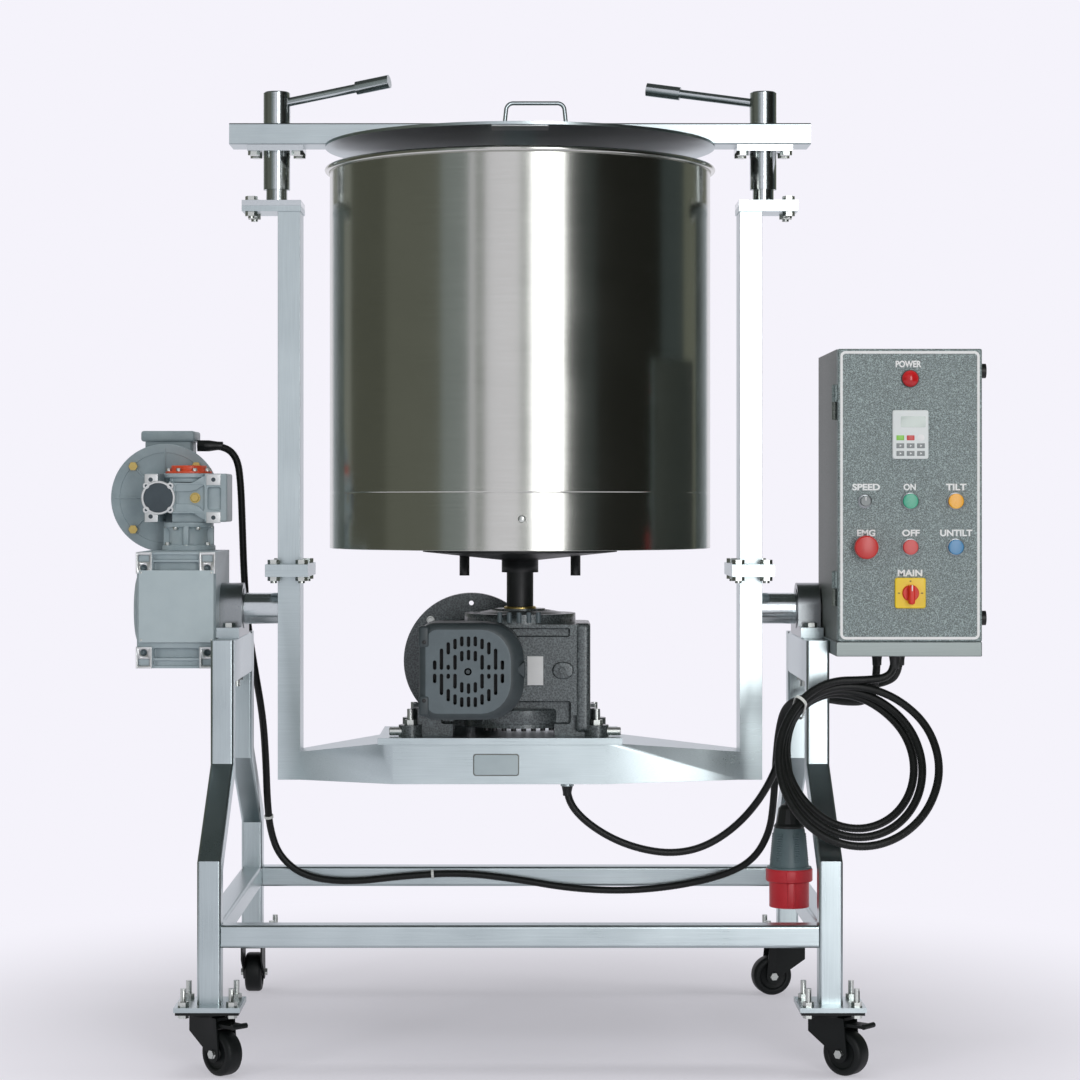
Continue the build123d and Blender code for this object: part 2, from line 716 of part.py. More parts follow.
def top_flange(side, z):
    """Flange plate at the top of a post, with its bolt holes."""
    x = sorted((side * TOP_FLANGE_X[0], side * TOP_FLANGE_X[1]))
    plate = block(x, (-TOP_FLANGE_DEPTH / 2, TOP_FLANGE_DEPTH / 2), z)
    holes = [rod_z(YOKE_BOLT_R + HOLE_CLEAR, bx, by, (z[0] - 1, z[1] + 1))
             for bx, by in top_bolt_places(side)]
    return plate - holes


def yoke_post(side):
    """Upper post with its lower flange and top plate."""
    low = MID_JOINT_Z + MID_FLANGE_T
    high = TOP_JOINT_Z - TOP_FLANGE_T
    outer, inner = post_tube(side, (low, high), (MID_JOINT_Z - 1, high))
    return outer + flange_plate(side, (MID_JOINT_Z, low)) - inner + top_flange(side, (high, TOP_JOINT_Z))


def clamp_bolt_places(side):
    """Bolt places of the plate under the crossbar."""
    reach = CLAMP_PLATE / 2 - 11
    return [(side * CLAMP_X + a * reach, b * CROSSBAR_DEPTH * 0.3) for a in (-1, 1) for b in (-1, 1)]


CLAMP_BOLT_DEPTH = 22.0


def clamp_post(side):
    """Post between the yoke and the crossbar, with the stud that the lever turns on."""
    x = side * CLAMP_X
    foot = TOP_JOINT_Z + TOP_FLANGE_T
    neck = foot + CLAMP_SHAFT_HEIGHT
    seat = CROSSBAR_Z - CLAMP_PLATE_T
    half = CLAMP_PLATE / 2
    deep = CROSSBAR_DEPTH / 2 - 2
    post = top_flange(side, (TOP_JOINT_Z, foot)) + rod_z(CLAMP_SHAFT_R, x, 0, (foot, neck))
    post = post + rod_z(CLAMP_SLEEVE_R, x, 0, (neck, seat))
    post = post + block((x - half, x + half), (-deep, deep), (seat, CROSSBAR_Z))
    post = post + rod_z(CLAMP_STUD_R, x, 0, (CROSSBAR_Z, CROSSBAR_TOP + CLAMP_STUD_STAND))
    holes = [rod_z(YOKE_BOLT_R + HOLE_CLEAR, bx, by, (seat - 1, CROSSBAR_Z + 1))
             for bx, by in clamp_bolt_places(side)]
    return post - holes


def top_crossbar():
    """Bar across the drum's mouth, bored for the clamp studs."""
    half = CROSSBAR_LENGTH / 2
    deep = CROSSBAR_DEPTH / 2
    bar = block((-half, half), (-deep, deep), (CROSSBAR_Z, CROSSBAR_TOP))
    bar = fillet(bar.edges().filter_by(Axis.X), 3.0)
    holes = []
    for side in (-1, 1):
        holes.append(rod_z(CLAMP_STUD_R + HOLE_CLEAR, side * CLAMP_X, 0, (CROSSBAR_Z - 1, CROSSBAR_TOP + 1)))
        for bx, by in clamp_bolt_places(side):
            span = (CROSSBAR_Z - 1, CROSSBAR_Z + CLAMP_BOLT_DEPTH)
            holes.append(rod_z(YOKE_BOLT_R, bx, by, span))
    return bar - holes


def yoke_bolts():
    """Bolts of the flanges, the clamp plates and the gearbox's feet."""
    bolts = []
    for side in (-1, 1):
        for x, y in yoke_bolt_places(side):
            head = MID_JOINT_Z + MID_FLANGE_T
            bolts.append(through_bolt(YOKE_BOLT_R, x, y, head, MID_JOINT_Z - MID_FLANGE_T, 4.0))
        for x, y in top_bolt_places(side):
            head = TOP_JOINT_Z + TOP_FLANGE_T
            bolts.append(through_bolt(YOKE_BOLT_R, x, y, head, TOP_JOINT_Z - TOP_FLANGE_T, 4.0))
        for x, y in clamp_bolt_places(side):
            seat = CROSSBAR_Z - CLAMP_PLATE_T
            head = hex_z(YOKE_BOLT_R * 1.8, x, y, (seat - 7, seat))
            shank = rod_z(YOKE_BOLT_R, x, y, (seat, CROSSBAR_Z + CLAMP_BOLT_DEPTH))
            bolts.append(head + shank)
    for x, y in main_foot_places():
        head = DRIVE_Z + MAIN_TOE_HEIGHT
        across = YOKE_BOLT_R * 1.85
        nut = hex_z(across, x, y, (head, head + 9))
        wall = BEAM_TOP - POST_WALL
        low = hex_z(across, x, y, (wall - 8, wall))
        shank = rod_z(YOKE_BOLT_R, x, y, (wall - 8, head + 28))
        bolts.append(nut + low + shank)
    return bolts


def trunnions():
    """Tilt journals on both posts, and the bronze wheel on the left one."""
    seat = FRAME_IN - RUN * 40
    end = FRAME_OUT - 1
    right = rod_x(SLEEVE_R, (POST_OUT, seat), 0, TILT_Z) + rod_x(JOURNAL_R, (seat, end), 0, TILT_Z)
    left = mirror(right, Plane.YZ)
    tail = -FRAME_OUT - TILT_BOX_WIDTH - 3
    left = left + rod_x(TILT_BORE_R, (tail, -end), 0, TILT_Z)
    half = TILT_WHEEL_WIDTH / 2
    rim = (TILT_BOX_X - half, TILT_BOX_X + half)
    wheel = rod_x(TILT_WHEEL_R, rim, 0, TILT_Z) - rod_x(TILT_BORE_R + RUN, rim, 0, TILT_Z)
    return [left, right, wheel]


# Main drive

def main_flange_holes():
    """Clearance holes through both flanges, above, below and beside the worm."""
    ring = (MAIN_FLANGE_R + MOTOR_BODY_R) / 2
    span = (FLANGE_FRONT - 1, MOTOR_FACE + 1)
    return [rod_y(MAIN_FLANGE_HOLE_R, MOTOR_X + ring * dx, span, MAIN_WORM_Z + ring * dz)
            for dx, dz in ((1, 0), (-1, 0), (0, 1), (0, -1))]


def main_gearbox():
    """Cast worm gearbox: body, round covers, feet, rear flange, and bores for its shafts."""
    deep = MAIN_BODY_DEPTH / 2
    low = DRIVE_Z + MAIN_FOOT_HEIGHT
    high = MAIN_TOP - 25
    toe_top = DRIVE_Z + MAIN_TOE_HEIGHT
    body = block(MAIN_BODY_X, (-deep, deep), (low, high))
    body = fillet(body.edges().filter_by(Axis.Z), 24.0)
    case = body + rod_z(MAIN_COVER_R, 0, 0, (DRIVE_Z + 14, MAIN_TOP - 8))
    case = case + rod_z(SHAFT_R * 1.9, 0, 0, (MAIN_TOP - 8, MAIN_TOP))
    for x, y in main_foot_places():
        toe = rod_z(MAIN_TOE_R, x, y, (DRIVE_Z, toe_top))
        inward = 1 if x < 0 else -1
        web = block(sorted((x, x + inward * 75)), sorted((y, y * 0.45)), (DRIVE_Z, low + 10))
        case = case + toe + web
    case = case + rod_y(MAIN_NECK_R, MOTOR_X, (deep - 12, FLANGE_FRONT), MAIN_WORM_Z)
    case = case + rod_y(MAIN_FLANGE_R, MOTOR_X, (FLANGE_FRONT, GEARBOX_FACE), MAIN_WORM_Z)
    half = MAIN_WHEEL_WIDTH / 2 + 12
    chamber = rod_z(MAIN_WHEEL_R + 8, 0, 0, (MAIN_WORM_Z - half, MAIN_WORM_Z + half))
    shaft = rod_z(SHAFT_R + RUN, 0, 0, (DRIVE_Z + 24, MAIN_TOP + 1))
    worm = rod_y(MAIN_WORM_R + 9, MOTOR_X, (-deep + 25, deep - 25), MAIN_WORM_Z)
    journal = rod_y(MAIN_SHAFT_R + RUN, MOTOR_X, (-deep - 1, GEARBOX_FACE + 1), MAIN_WORM_Z)
    holes = [rod_z(YOKE_BOLT_R + HOLE_CLEAR, x, y, (DRIVE_Z - 1, low + 11)) for x, y in main_foot_places()]
    spot = [rod_z(YOKE_BOLT_R * 2.1, x, y, (toe_top, low + 40)) for x, y in main_foot_places()]
    return case - chamber - shaft - worm - journal - holes - spot - main_flange_holes()


def main_motor():
    """Motor on the gearbox's rear flange, and the fan cowl on the front as a shell of its own."""
    flange = rod_y(MAIN_FLANGE_R, MOTOR_X, (GEARBOX_FACE, MOTOR_FACE), MAIN_WORM_Z)
    barrel = rod_y(MOTOR_BODY_R, MOTOR_X, (MOTOR_FACE, MOTOR_REAR), MAIN_WORM_Z)
    cap = rod_y(MOTOR_BODY_R + 3, MOTOR_X, (MOTOR_REAR - MOTOR_CAP_LENGTH, MOTOR_REAR), MAIN_WORM_Z)
    cap = chamfer(cap.edges().group_by(Axis.Y)[-1], 8.0)
    chamber = rod_y(ROTOR_R + 1, MOTOR_X, (ROTOR_START - 4, ROTOR_END + 4), MAIN_WORM_Z)
    bore = rod_y(MAIN_SHAFT_R + RUN, MOTOR_X, (GEARBOX_FACE - 1, ROTOR_END + 22), MAIN_WORM_Z)
    body = flange + barrel + cap - chamber - bore - main_flange_holes()
    middle = MOTOR_X + COWL_SHIFT
    face = Plane.XZ * Pos(middle, MAIN_WORM_Z) * RectangleRounded(COWL_WIDTH, COWL_HEIGHT, 34.0)
    inner = Plane.XZ * Pos(middle, MAIN_WORM_Z) * RectangleRounded(
        COWL_WIDTH - 2 * COWL_WALL, COWL_HEIGHT - 2 * COWL_WALL, 34.0 - COWL_WALL)
    cowl = Pos(Y=COWL_BACK) * extrude(face, COWL_LENGTH)
    hollow = Pos(Y=COWL_BACK - COWL_WALL) * extrude(inner, COWL_LENGTH - 2 * COWL_WALL)
    neck = rod_y(MAIN_SHAFT_R * 2, MOTOR_X, (COWL_BACK - COWL_WALL - 1, COWL_BACK + 1), MAIN_WORM_Z)
    slots = []
    for column in range(-5, 6):
        x = MOTOR_X + column * 11.0
        reach = sqrt(62.0 ** 2 - (column * 11.0) ** 2)
        slots.append(block((x - 2.2, x + 2.2), (COWL_FRONT - 1, COWL_FRONT + COWL_WALL + 1),
                           (MAIN_WORM_Z + 10, MAIN_WORM_Z + reach)))
        slots.append(block((x - 2.2, x + 2.2), (COWL_FRONT - 1, COWL_FRONT + COWL_WALL + 1),
                           (MAIN_WORM_Z - reach, MAIN_WORM_Z - 10)))
    return [body, cowl - hollow - neck - slots]


def main_worm():
    """Worm, motor shaft, rotor and fan, which turn as one."""
    deep = MAIN_BODY_DEPTH / 2
    shaft = rod_y(MAIN_SHAFT_R, MOTOR_X, (COWL_FRONT + 20, ROTOR_END + 20), MAIN_WORM_Z)
    worm = rod_y(MAIN_WORM_R, MOTOR_X, (-deep + 40, deep - 40), MAIN_WORM_Z)
    rotor = rod_y(ROTOR_R, MOTOR_X, (ROTOR_START, ROTOR_END), MAIN_WORM_Z)
    fan = rod_y(COWL_HEIGHT * 0.36, MOTOR_X, (COWL_FRONT + 20, COWL_FRONT + 32), MAIN_WORM_Z)
    grooves = []
    for step in range(-4, 5):
        ring = rod_y(MAIN_WORM_R + 1, MOTOR_X, (step * 12.0 - 2.5, step * 12.0 + 2.5), MAIN_WORM_Z)
        core = rod_y(MAIN_WORM_R - 5, MOTOR_X, (step * 12.0 - 3, step * 12.0 + 3), MAIN_WORM_Z)
        grooves.append(ring - core)
    return shaft + (worm - grooves) + rotor + fan


def toothed_disc(radius, width, teeth, depth):
    """Wheel blank along Z with straight tooth gaps round its rim."""
    disc = Cylinder(radius, width)
    gap_wide = pi * radius / teeth
    gaps = [Rot(0, 0, 360 / teeth * step) * Pos(X=radius) * Box(2 * depth, gap_wide, width + 2)
            for step in range(teeth)]
    return disc - gaps


def worm_wheel():
    """Bronze worm wheel on the drum's shaft."""
    wheel = toothed_disc(MAIN_WHEEL_R, MAIN_WHEEL_WIDTH, 30, 5.0)
    return Pos(Z=MAIN_WORM_Z) * (wheel - Cylinder(SHAFT_R + RUN, MAIN_WHEEL_WIDTH + 2))


# Drum and grinding stones

def drum_shell():
    """Spun drum: wall, floor and rolled rim."""
    inside = DRUM_R - DRUM_WALL
    rim = DRUM_TOP - DRUM_BEAD_R
    wall = turned([(inside, DRUM_BOTTOM), (DRUM_R, DRUM_BOTTOM), (DRUM_R, rim), (inside, rim)])
    floor = rod_z(inside + DRUM_WALL / 2, 0, 0, (DRUM_FLOOR_Z, DRUM_FLOOR_Z + DRUM_FLOOR_T))
    bead = Pos(Z=rim) * Torus(DRUM_R + DRUM_BEAD_R * 0.8, DRUM_BEAD_R)
    return wall + floor + bead


def base_stone():
    """Granite floor stone that lies in the drum."""
    stone = rod_z(DRUM_R - DRUM_WALL - STONE_GAP, 0, 0, (STONE_Z, STONE_TOP))
    return chamfer(stone.edges().group_by(Axis.Z)[-1], 3.0)


def drum_hub():
    """Cast dish that carries the drum, with its hub and two hanging studs."""
    lip = DRUM_FLOOR_Z - HUB_DISH_DEPTH
    hub = turned([
        (SHAFT_R + RUN, HUB_BOTTOM),
        (HUB_R, HUB_BOTTOM),
        (HUB_R, HUB_BOTTOM + 22),
        (HUB_DISH_R * 0.5, lip - 9),
        (HUB_DISH_R, lip),
        (HUB_DISH_R, DRUM_FLOOR_Z),
        (SHAFT_R + RUN, DRUM_FLOOR_Z),
    ])
    for side in (-1, 1):
        hub = hub + rod_z(HUB_STUD_R, side * HUB_STUD_X, 0, (HUB_BOTTOM - 6, lip))
    return hub


def drive_shaft():
    """Vertical shaft from the gearbox to the drum's floor."""
    return rod_z(SHAFT_R, 0, 0, (DRIVE_Z + 26, DRUM_FLOOR_Z))


def roller(side):
    """Granite roller on the horizontal axle."""
    x = sorted((side * ROLLER_INNER_X, side * ROLLER_OUTER_X))
    stone = chamfer(rod_x(ROLLER_R, x, 0, AXLE_Z).edges(), 6.0)
    return stone - rod_x(AXLE_R + RUN, (x[0] - 1, x[1] + 1), 0, AXLE_Z)


def roller_carrier():
    """Hanging bar with the roller axle, and the wall scraper on its arm."""
    half = CARRIER_BAR / 2
    cube = CARRIER_BLOCK / 2
    wide = ROLLER_INNER_X - GAP
    end = ROLLER_OUTER_X + GAP
    bar = block((-half, half), (-half, half), (AXLE_Z, CROSSBAR_Z))
    hold = block((-wide, wide), (-cube, cube), (AXLE_Z - cube, AXLE_Z + cube))
    axle = rod_x(AXLE_R, (-end - AXLE_COLLAR_T, end + AXLE_COLLAR_T), 0, AXLE_Z)
    collars = [
        rod_x(AXLE_COLLAR_R, (end, end + AXLE_COLLAR_T), 0, AXLE_Z),
        rod_x(AXLE_COLLAR_R, (-end - AXLE_COLLAR_T, -end), 0, AXLE_Z),
    ]
    reach = DRUM_R - DRUM_WALL - 4
    high = DRUM_TOP - 60
    arm = block((-12, 12), (half, reach - SCRAPER_WIDTH), (high - 40, high - 10))
    blade = block((-SCRAPER_T / 2, SCRAPER_T / 2), (reach - SCRAPER_WIDTH, reach), (STONE_TOP + 5, high))
    return [bar + hold + axle + collars, arm + blade]


# Lid, crossbar levers

def lid_disc(y):
    """Slice of the lid's disc between two limits on Y."""
    disc = rod_z(LID_R, 0, 0, (CROSSBAR_Z - LID_T, CROSSBAR_Z))
    return disc & block((-LID_R, LID_R), y, (CROSSBAR_Z - LID_T, CROSSBAR_Z))


def lid_rear():
    """Fixed part of the lid with the outer hinge knuckles and the pin."""
    half = CARRIER_BAR / 2 + 1
    edge = LID_SPLIT_Y + GAP
    plate = lid_disc((edge, LID_R)) - block((-half, half), (-half, half), (CROSSBAR_Z - 2 * LID_T, CROSSBAR_Z + 1))
    third = HINGE_LENGTH / 6
    for side in (-1, 1):
        x = sorted((side * (third + GAP), side * HINGE_LENGTH / 2))
        knuckle = rod_x(HINGE_R, x, LID_SPLIT_Y, HINGE_Z)
        leaf = block(x, (edge, edge + HINGE_LEAF), (CROSSBAR_Z, CROSSBAR_Z + HINGE_LEAF_T))
        plate = plate + knuckle + leaf
    pin = rod_x(HINGE_PIN_R, (-HINGE_LENGTH / 2, HINGE_LENGTH / 2), LID_SPLIT_Y, HINGE_Z)
    return plate + pin


def lid_flap():
    """Front flap with the middle knuckle, and its bow handle."""
    edge = LID_SPLIT_Y - GAP
    third = HINGE_LENGTH / 6
    x = (-third, third)
    plate = lid_disc((-LID_R, edge))
    plate = plate + rod_x(HINGE_R, x, LID_SPLIT_Y, HINGE_Z)
    plate = plate + block(x, (edge - HINGE_LEAF, edge), (CROSSBAR_Z, CROSSBAR_Z + HINGE_LEAF_T))
    plate = plate - rod_x(HINGE_PIN_R + RUN, x, LID_SPLIT_Y, HINGE_Z)
    left = HANDLE_X - HANDLE_WIDTH / 2 + HANDLE_WIRE_R
    right = HANDLE_X + HANDLE_WIDTH / 2 - HANDLE_WIRE_R
    top = CROSSBAR_Z + HANDLE_HEIGHT - HANDLE_WIRE_R
    line = [(left, CROSSBAR_Z), (left + 4, top), (right - 4, top), (right, CROSSBAR_Z)]
    path = FilletPolyline(*[(a, HANDLE_Y, b) for a, b in line], radius=12.0)
    start = Plane(origin=(left, HANDLE_Y, CROSSBAR_Z), z_dir=path % 0)
    bow = sweep(start * Circle(HANDLE_WIRE_R), path=path)
    bow = bow & block((left - 9, right + 9), (HANDLE_Y - 9, HANDLE_Y + 9), (CROSSBAR_Z, CROSSBAR_Z + 90))
    return [plate, bow]


def clamp_lever(side, yaw):
    """Lever with its boss on the clamp stud, a rising rod and a grip."""
    low = CROSSBAR_TOP + GAP
    high = low + LEVER_BOSS_HEIGHT
    boss = rod_z(CLAMP_SLEEVE_R, 0, 0, (low, high))
    boss = chamfer(boss.edges().group_by(Axis.Z)[-1], 2.0)
    rod = rod_x(LEVER_ROD_R, (0, LEVER_REACH - LEVER_GRIP_LENGTH), 0, 0)
    grip = rod_x(LEVER_GRIP_R, (LEVER_REACH - LEVER_GRIP_LENGTH, LEVER_REACH), 0, 0)
    arm = Pos(Z=high - 22) * Rot(0, -LEVER_RISE, 0) * (rod + grip)
    socket = rod_z(CLAMP_STUD_R + RUN, 0, 0, (low - 1, CROSSBAR_TOP + CLAMP_STUD_STAND + 1))
    return Pos(X=side * CLAMP_X) * Rot(0, 0, yaw) * (boss + arm - socket)


# Tilt drive

def tilt_gearbox():
    """Second-stage worm box, bolted face to face on the left side frame."""
    x = (TILT_BOX_X - TILT_BOX_WIDTH / 2, TILT_BOX_X + TILT_BOX_WIDTH / 2)
    z = (TILT_Z - TILT_BOX_BELOW, TILT_BOX_TOP)
    case = block(x, (-TILT_BOX_FRONT, TILT_BOX_REAR), z)
    case = fillet(case.edges().filter_by(Axis.Z), 8.0)
    wide, tall, proud = TILT_LUG
    face = (-TILT_BOX_FRONT - proud, -TILT_BOX_FRONT + 10)
    for low in (z[0], z[1] - tall):
        for left in (x[0], x[1] - wide):
            case = case + block((left, left + wide), face, (low, low + tall))
    half = TILT_WHEEL_WIDTH / 2 + 12
    chamber = rod_x(TILT_WHEEL_R + 4, (TILT_BOX_X - half, TILT_BOX_X + half), 0, TILT_Z)
    output = rod_x(TILT_BORE_R + RUN, (x[0] - 1, x[1] + 1), 0, TILT_Z)
    worm = rod_z(TILT_WORM_R + 5, TILT_BOX_X, TILT_CENTRES, (z[0] + 22, z[1] - 22))
    shaft = rod_z(TILT_WORM_SHAFT_R + RUN, TILT_BOX_X, TILT_CENTRES, (z[0] + 8, z[1] + 1))
    return case - chamber - output - worm - shaft


def tilt_primary_gearbox():
    """First-stage worm box on its adaptor, with a cover on top and a cap in front."""
    centre = (TILT_BOX_X, TILT_CENTRES)
    x = (TILT_BOX_X - PRIMARY_WIDTH / 2, TILT_BOX_X + PRIMARY_WIDTH / 2)
    case = block(x, (PRIMARY_FRONT, PRIMARY_REAR), (PRIMARY_Z, PRIMARY_Z + PRIMARY_HEIGHT))
    case = fillet(case.edges().filter_by(Axis.Y), 10.0)
    case = case + rod_z(ADAPTOR_R, *centre, (TILT_BOX_TOP, PRIMARY_Z))
    top = PRIMARY_Z + PRIMARY_HEIGHT
    case = case + rod_z(PRIMARY_CAP_R, *centre, (top, top + PRIMARY_CAP_T))
    case = case + rod_y(26.0, TILT_MOTOR_X, (PRIMARY_FRONT - 4, PRIMARY_FRONT), PRIMARY_AXIS_Z)
    chamber = rod_z(PRIMARY_WHEEL_R + 2, *centre, (PRIMARY_AXIS_Z - 24, PRIMARY_AXIS_Z + 24))
    shaft = rod_z(TILT_WORM_SHAFT_R + RUN, *centre, (TILT_BOX_TOP - 1, top - 8))
    return case - chamber - shaft


def tilt_motor():
    """Flanged motor behind the first stage, with its terminal box."""
    flange = rod_y(TILT_FLANGE_R, TILT_MOTOR_X, (PRIMARY_REAR, TILT_MOTOR_FACE), PRIMARY_AXIS_Z)
    rear = TILT_MOTOR_FACE + TILT_MOTOR_LENGTH
    barrel = rod_y(TILT_MOTOR_R, TILT_MOTOR_X, (TILT_MOTOR_FACE, rear), PRIMARY_AXIS_Z)
    wide, deep, tall = TERMINAL_BOX
    box = block(
        (TILT_MOTOR_X - wide / 2, TILT_MOTOR_X + wide / 2),
        (TERMINAL_Y - deep / 2, TERMINAL_Y + deep / 2),
        (TERMINAL_Z - 20, TERMINAL_Z + tall),
    )
    return flange + barrel + box


def tilt_worm():
    """Upright worm of the second stage, with the first stage's wheel on its shaft."""
    centre = (TILT_BOX_X, TILT_CENTRES)
    low = TILT_Z - TILT_BOX_BELOW
    top = PRIMARY_Z + PRIMARY_HEIGHT
    shaft = rod_z(TILT_WORM_SHAFT_R, *centre, (low + 9, top - 9))
    worm = rod_z(TILT_WORM_R, *centre, (TILT_Z - 50, TILT_Z + 50))
    wheel = Pos(*centre, PRIMARY_AXIS_Z) * toothed_disc(PRIMARY_WHEEL_R, 30.0, 24, 3.0)
    grooves = []
    for step in range(-3, 4):
        z = TILT_Z + step * 13.0
        ring = rod_z(TILT_WORM_R + 1, *centre, (z - 2.5, z + 2.5))
        grooves.append(ring - rod_z(TILT_WORM_R - 5, *centre, (z - 3, z + 3)))
    return shaft + (worm - grooves) + wheel


# Control panel

def panel_bracket():
    """Welded frame under the panel, fixed to the right side frame."""
    high = PANEL_Z
    outer = block((FRAME_OUT, PANEL_X + PANEL_WIDTH), (PANEL_FRONT, PANEL_BACK), (high - PANEL_BRACKET, high))
    rail = PANEL_BRACKET
    inner = block(
        (FRAME_OUT + rail, PANEL_X + PANEL_WIDTH - rail),
        (PANEL_FRONT + rail, PANEL_BACK - rail),
        (high - PANEL_BRACKET - 1, high + 1),
    )
    return outer - inner


def hinge_heights():
    """Lower ends of the two door hinges."""
    return (PANEL_Z + DOOR_KNUCKLE_INSET, PANEL_TOP - DOOR_KNUCKLE_INSET - 2 * DOOR_KNUCKLE)


def panel_enclosure():
    """Sheet box, open in front, with hinge knuckles and pins on its left edge."""
    x = (PANEL_X, PANEL_X + PANEL_WIDTH)
    z = (PANEL_Z, PANEL_TOP)
    t = PANEL_SHEET
    shell = block(x, (SHELL_FRONT, PANEL_BACK), z)
    shell = shell - block((x[0] + t, x[1] - t), (SHELL_FRONT - 1, PANEL_BACK - t), (z[0] + t, z[1] - t))
    for low in hinge_heights():
        leaf = block((DOOR_AXIS_X, x[0]), (DOOR_BACK, DOOR_BACK + 14), (low, low + DOOR_KNUCKLE))
        knuckle = rod_z(DOOR_HINGE_R, DOOR_AXIS_X, DOOR_BACK, (low, low + DOOR_KNUCKLE))
        pin = rod_z(DOOR_PIN_R, DOOR_AXIS_X, DOOR_BACK, (low, low + 2 * DOOR_KNUCKLE))
        shell = shell + (leaf - block((x[0] - 2, x[0] + 1), (DOOR_BACK - 1, SHELL_FRONT), z)) + knuckle + pin
    for height in LATCH_HEIGHTS:
        hole = rod_x(4.0 + RUN, (x[1] - t - 1, x[1] + 1), LATCH_Y, height)
        shell = shell - hole
    return shell


def panel_chassis():
    """Mounting plate with the drive, the contactors and a terminal strip."""
    face = PANEL_BACK - PANEL_SHEET - 5
    left, right = PANEL_X + CHASSIS_MARGIN, PANEL_X + PANEL_WIDTH - CHASSIS_MARGIN
    low, high = PANEL_Z + CHASSIS_MARGIN, PANEL_TOP - CHASSIS_MARGIN
    plate = block((left, right), (face, face + 2), (low, high))
    for x in (left + 10, right - 10):
        for z in (low + 10, high - 10):
            plate = plate + rod_y(5.0, x, (face + 2, PANEL_BACK - PANEL_SHEET), z)
    solids = [plate]
    half = PANEL_WIDTH * DRIVE_SHARE[0] / 2
    z = (PANEL_TOP - DRIVE_DROP[1], PANEL_TOP - DRIVE_DROP[0])
    solids.append(block((PANEL_MID_X - half, PANEL_MID_X + half), (face - PANEL_DEPTH * DRIVE_SHARE[1], face), z))
    pitch = (right - left) / 3
    half = pitch / 2 - CONTACTOR_GAP
    z = (PANEL_TOP - CONTACTOR_DROP[1], PANEL_TOP - CONTACTOR_DROP[0])
    for step in (-1, 0, 1):
        x = PANEL_MID_X + step * pitch
        solids.append(block((x - half, x + half), (face - PANEL_DEPTH * CONTACTOR_SHARE, face), z))
    z = (PANEL_TOP - STRIP_DROP[1], PANEL_TOP - STRIP_DROP[0])
    solids.append(block((left + CONTACTOR_GAP, right - CONTACTOR_GAP), (face - PANEL_DEPTH * STRIP_SHARE, face), z))
    return solids


def control_places():
    """Centres of the door's controls, on X and Z."""
    left, mid, right = PANEL_MID_X - BUTTON_COLUMN, PANEL_MID_X, PANEL_MID_X + BUTTON_COLUMN
    return {
        "speed_knob": (left, PANEL_TOP - START_DROP),
        "start_button": (mid, PANEL_TOP - START_DROP),
        "tilt_button": (right, PANEL_TOP - START_DROP),
        "emergency_button": (left, PANEL_TOP - STOP_DROP),
        "stop_button": (mid, PANEL_TOP - STOP_DROP),
        "untilt_button": (right, PANEL_TOP - STOP_DROP),
        "main_switch": (mid, PANEL_TOP - MAIN_DROP),
    }


PUSHED = ("start_button", "tilt_button", "stop_button", "untilt_button", "emergency_button")
TURNED = ("speed_knob", "main_switch")
SPINDLE_R = 5.0


def panel_door():
    """Door of sheet: its face with the control holes, and four edges, the left with hinge knuckles."""
    x = (PANEL_X, PANEL_X + PANEL_WIDTH)
    z = (PANEL_Z, PANEL_TOP)
    t = PANEL_SHEET
    y = (PANEL_FRONT + t, DOOR_BACK)
    holes = []
    for name, (cx, cz) in control_places().items():
        radius = BUTTON_R + GAP if name in PUSHED else SPINDLE_R + GAP
        holes.append(rod_y(radius, cx, (PANEL_FRONT - 1, y[0] + 1), cz))
    face = block(x, (PANEL_FRONT, y[0]), z) - holes
    left = block((x[0], x[0] + t), y, z)
    right = block((x[1] - t, x[1]), y, z)
    bottom = block((x[0] + t, x[1] - t), y, (z[0], z[0] + t))
    top = block((x[0] + t, x[1] - t), y, (z[1] - t, z[1]))
    for low in hinge_heights():
        start = low + DOOR_KNUCKLE + GAP
        span = (start, start + DOOR_KNUCKLE - 1)
        knuckle = rod_z(DOOR_HINGE_R, DOOR_AXIS_X, DOOR_BACK, span)
        leaf = block((DOOR_AXIS_X, x[0]), (DOOR_BACK - 14, DOOR_BACK), span)
        bore = rod_z(DOOR_PIN_R + RUN, DOOR_AXIS_X, DOOR_BACK, (start - 1, start + DOOR_KNUCKLE))
        left = left + (knuckle - block((x[0] - 0.4, x[0] + 1), (DOOR_BACK, DOOR_BACK + 9), span)) + leaf - bore
    return [face, left, right, bottom, top]


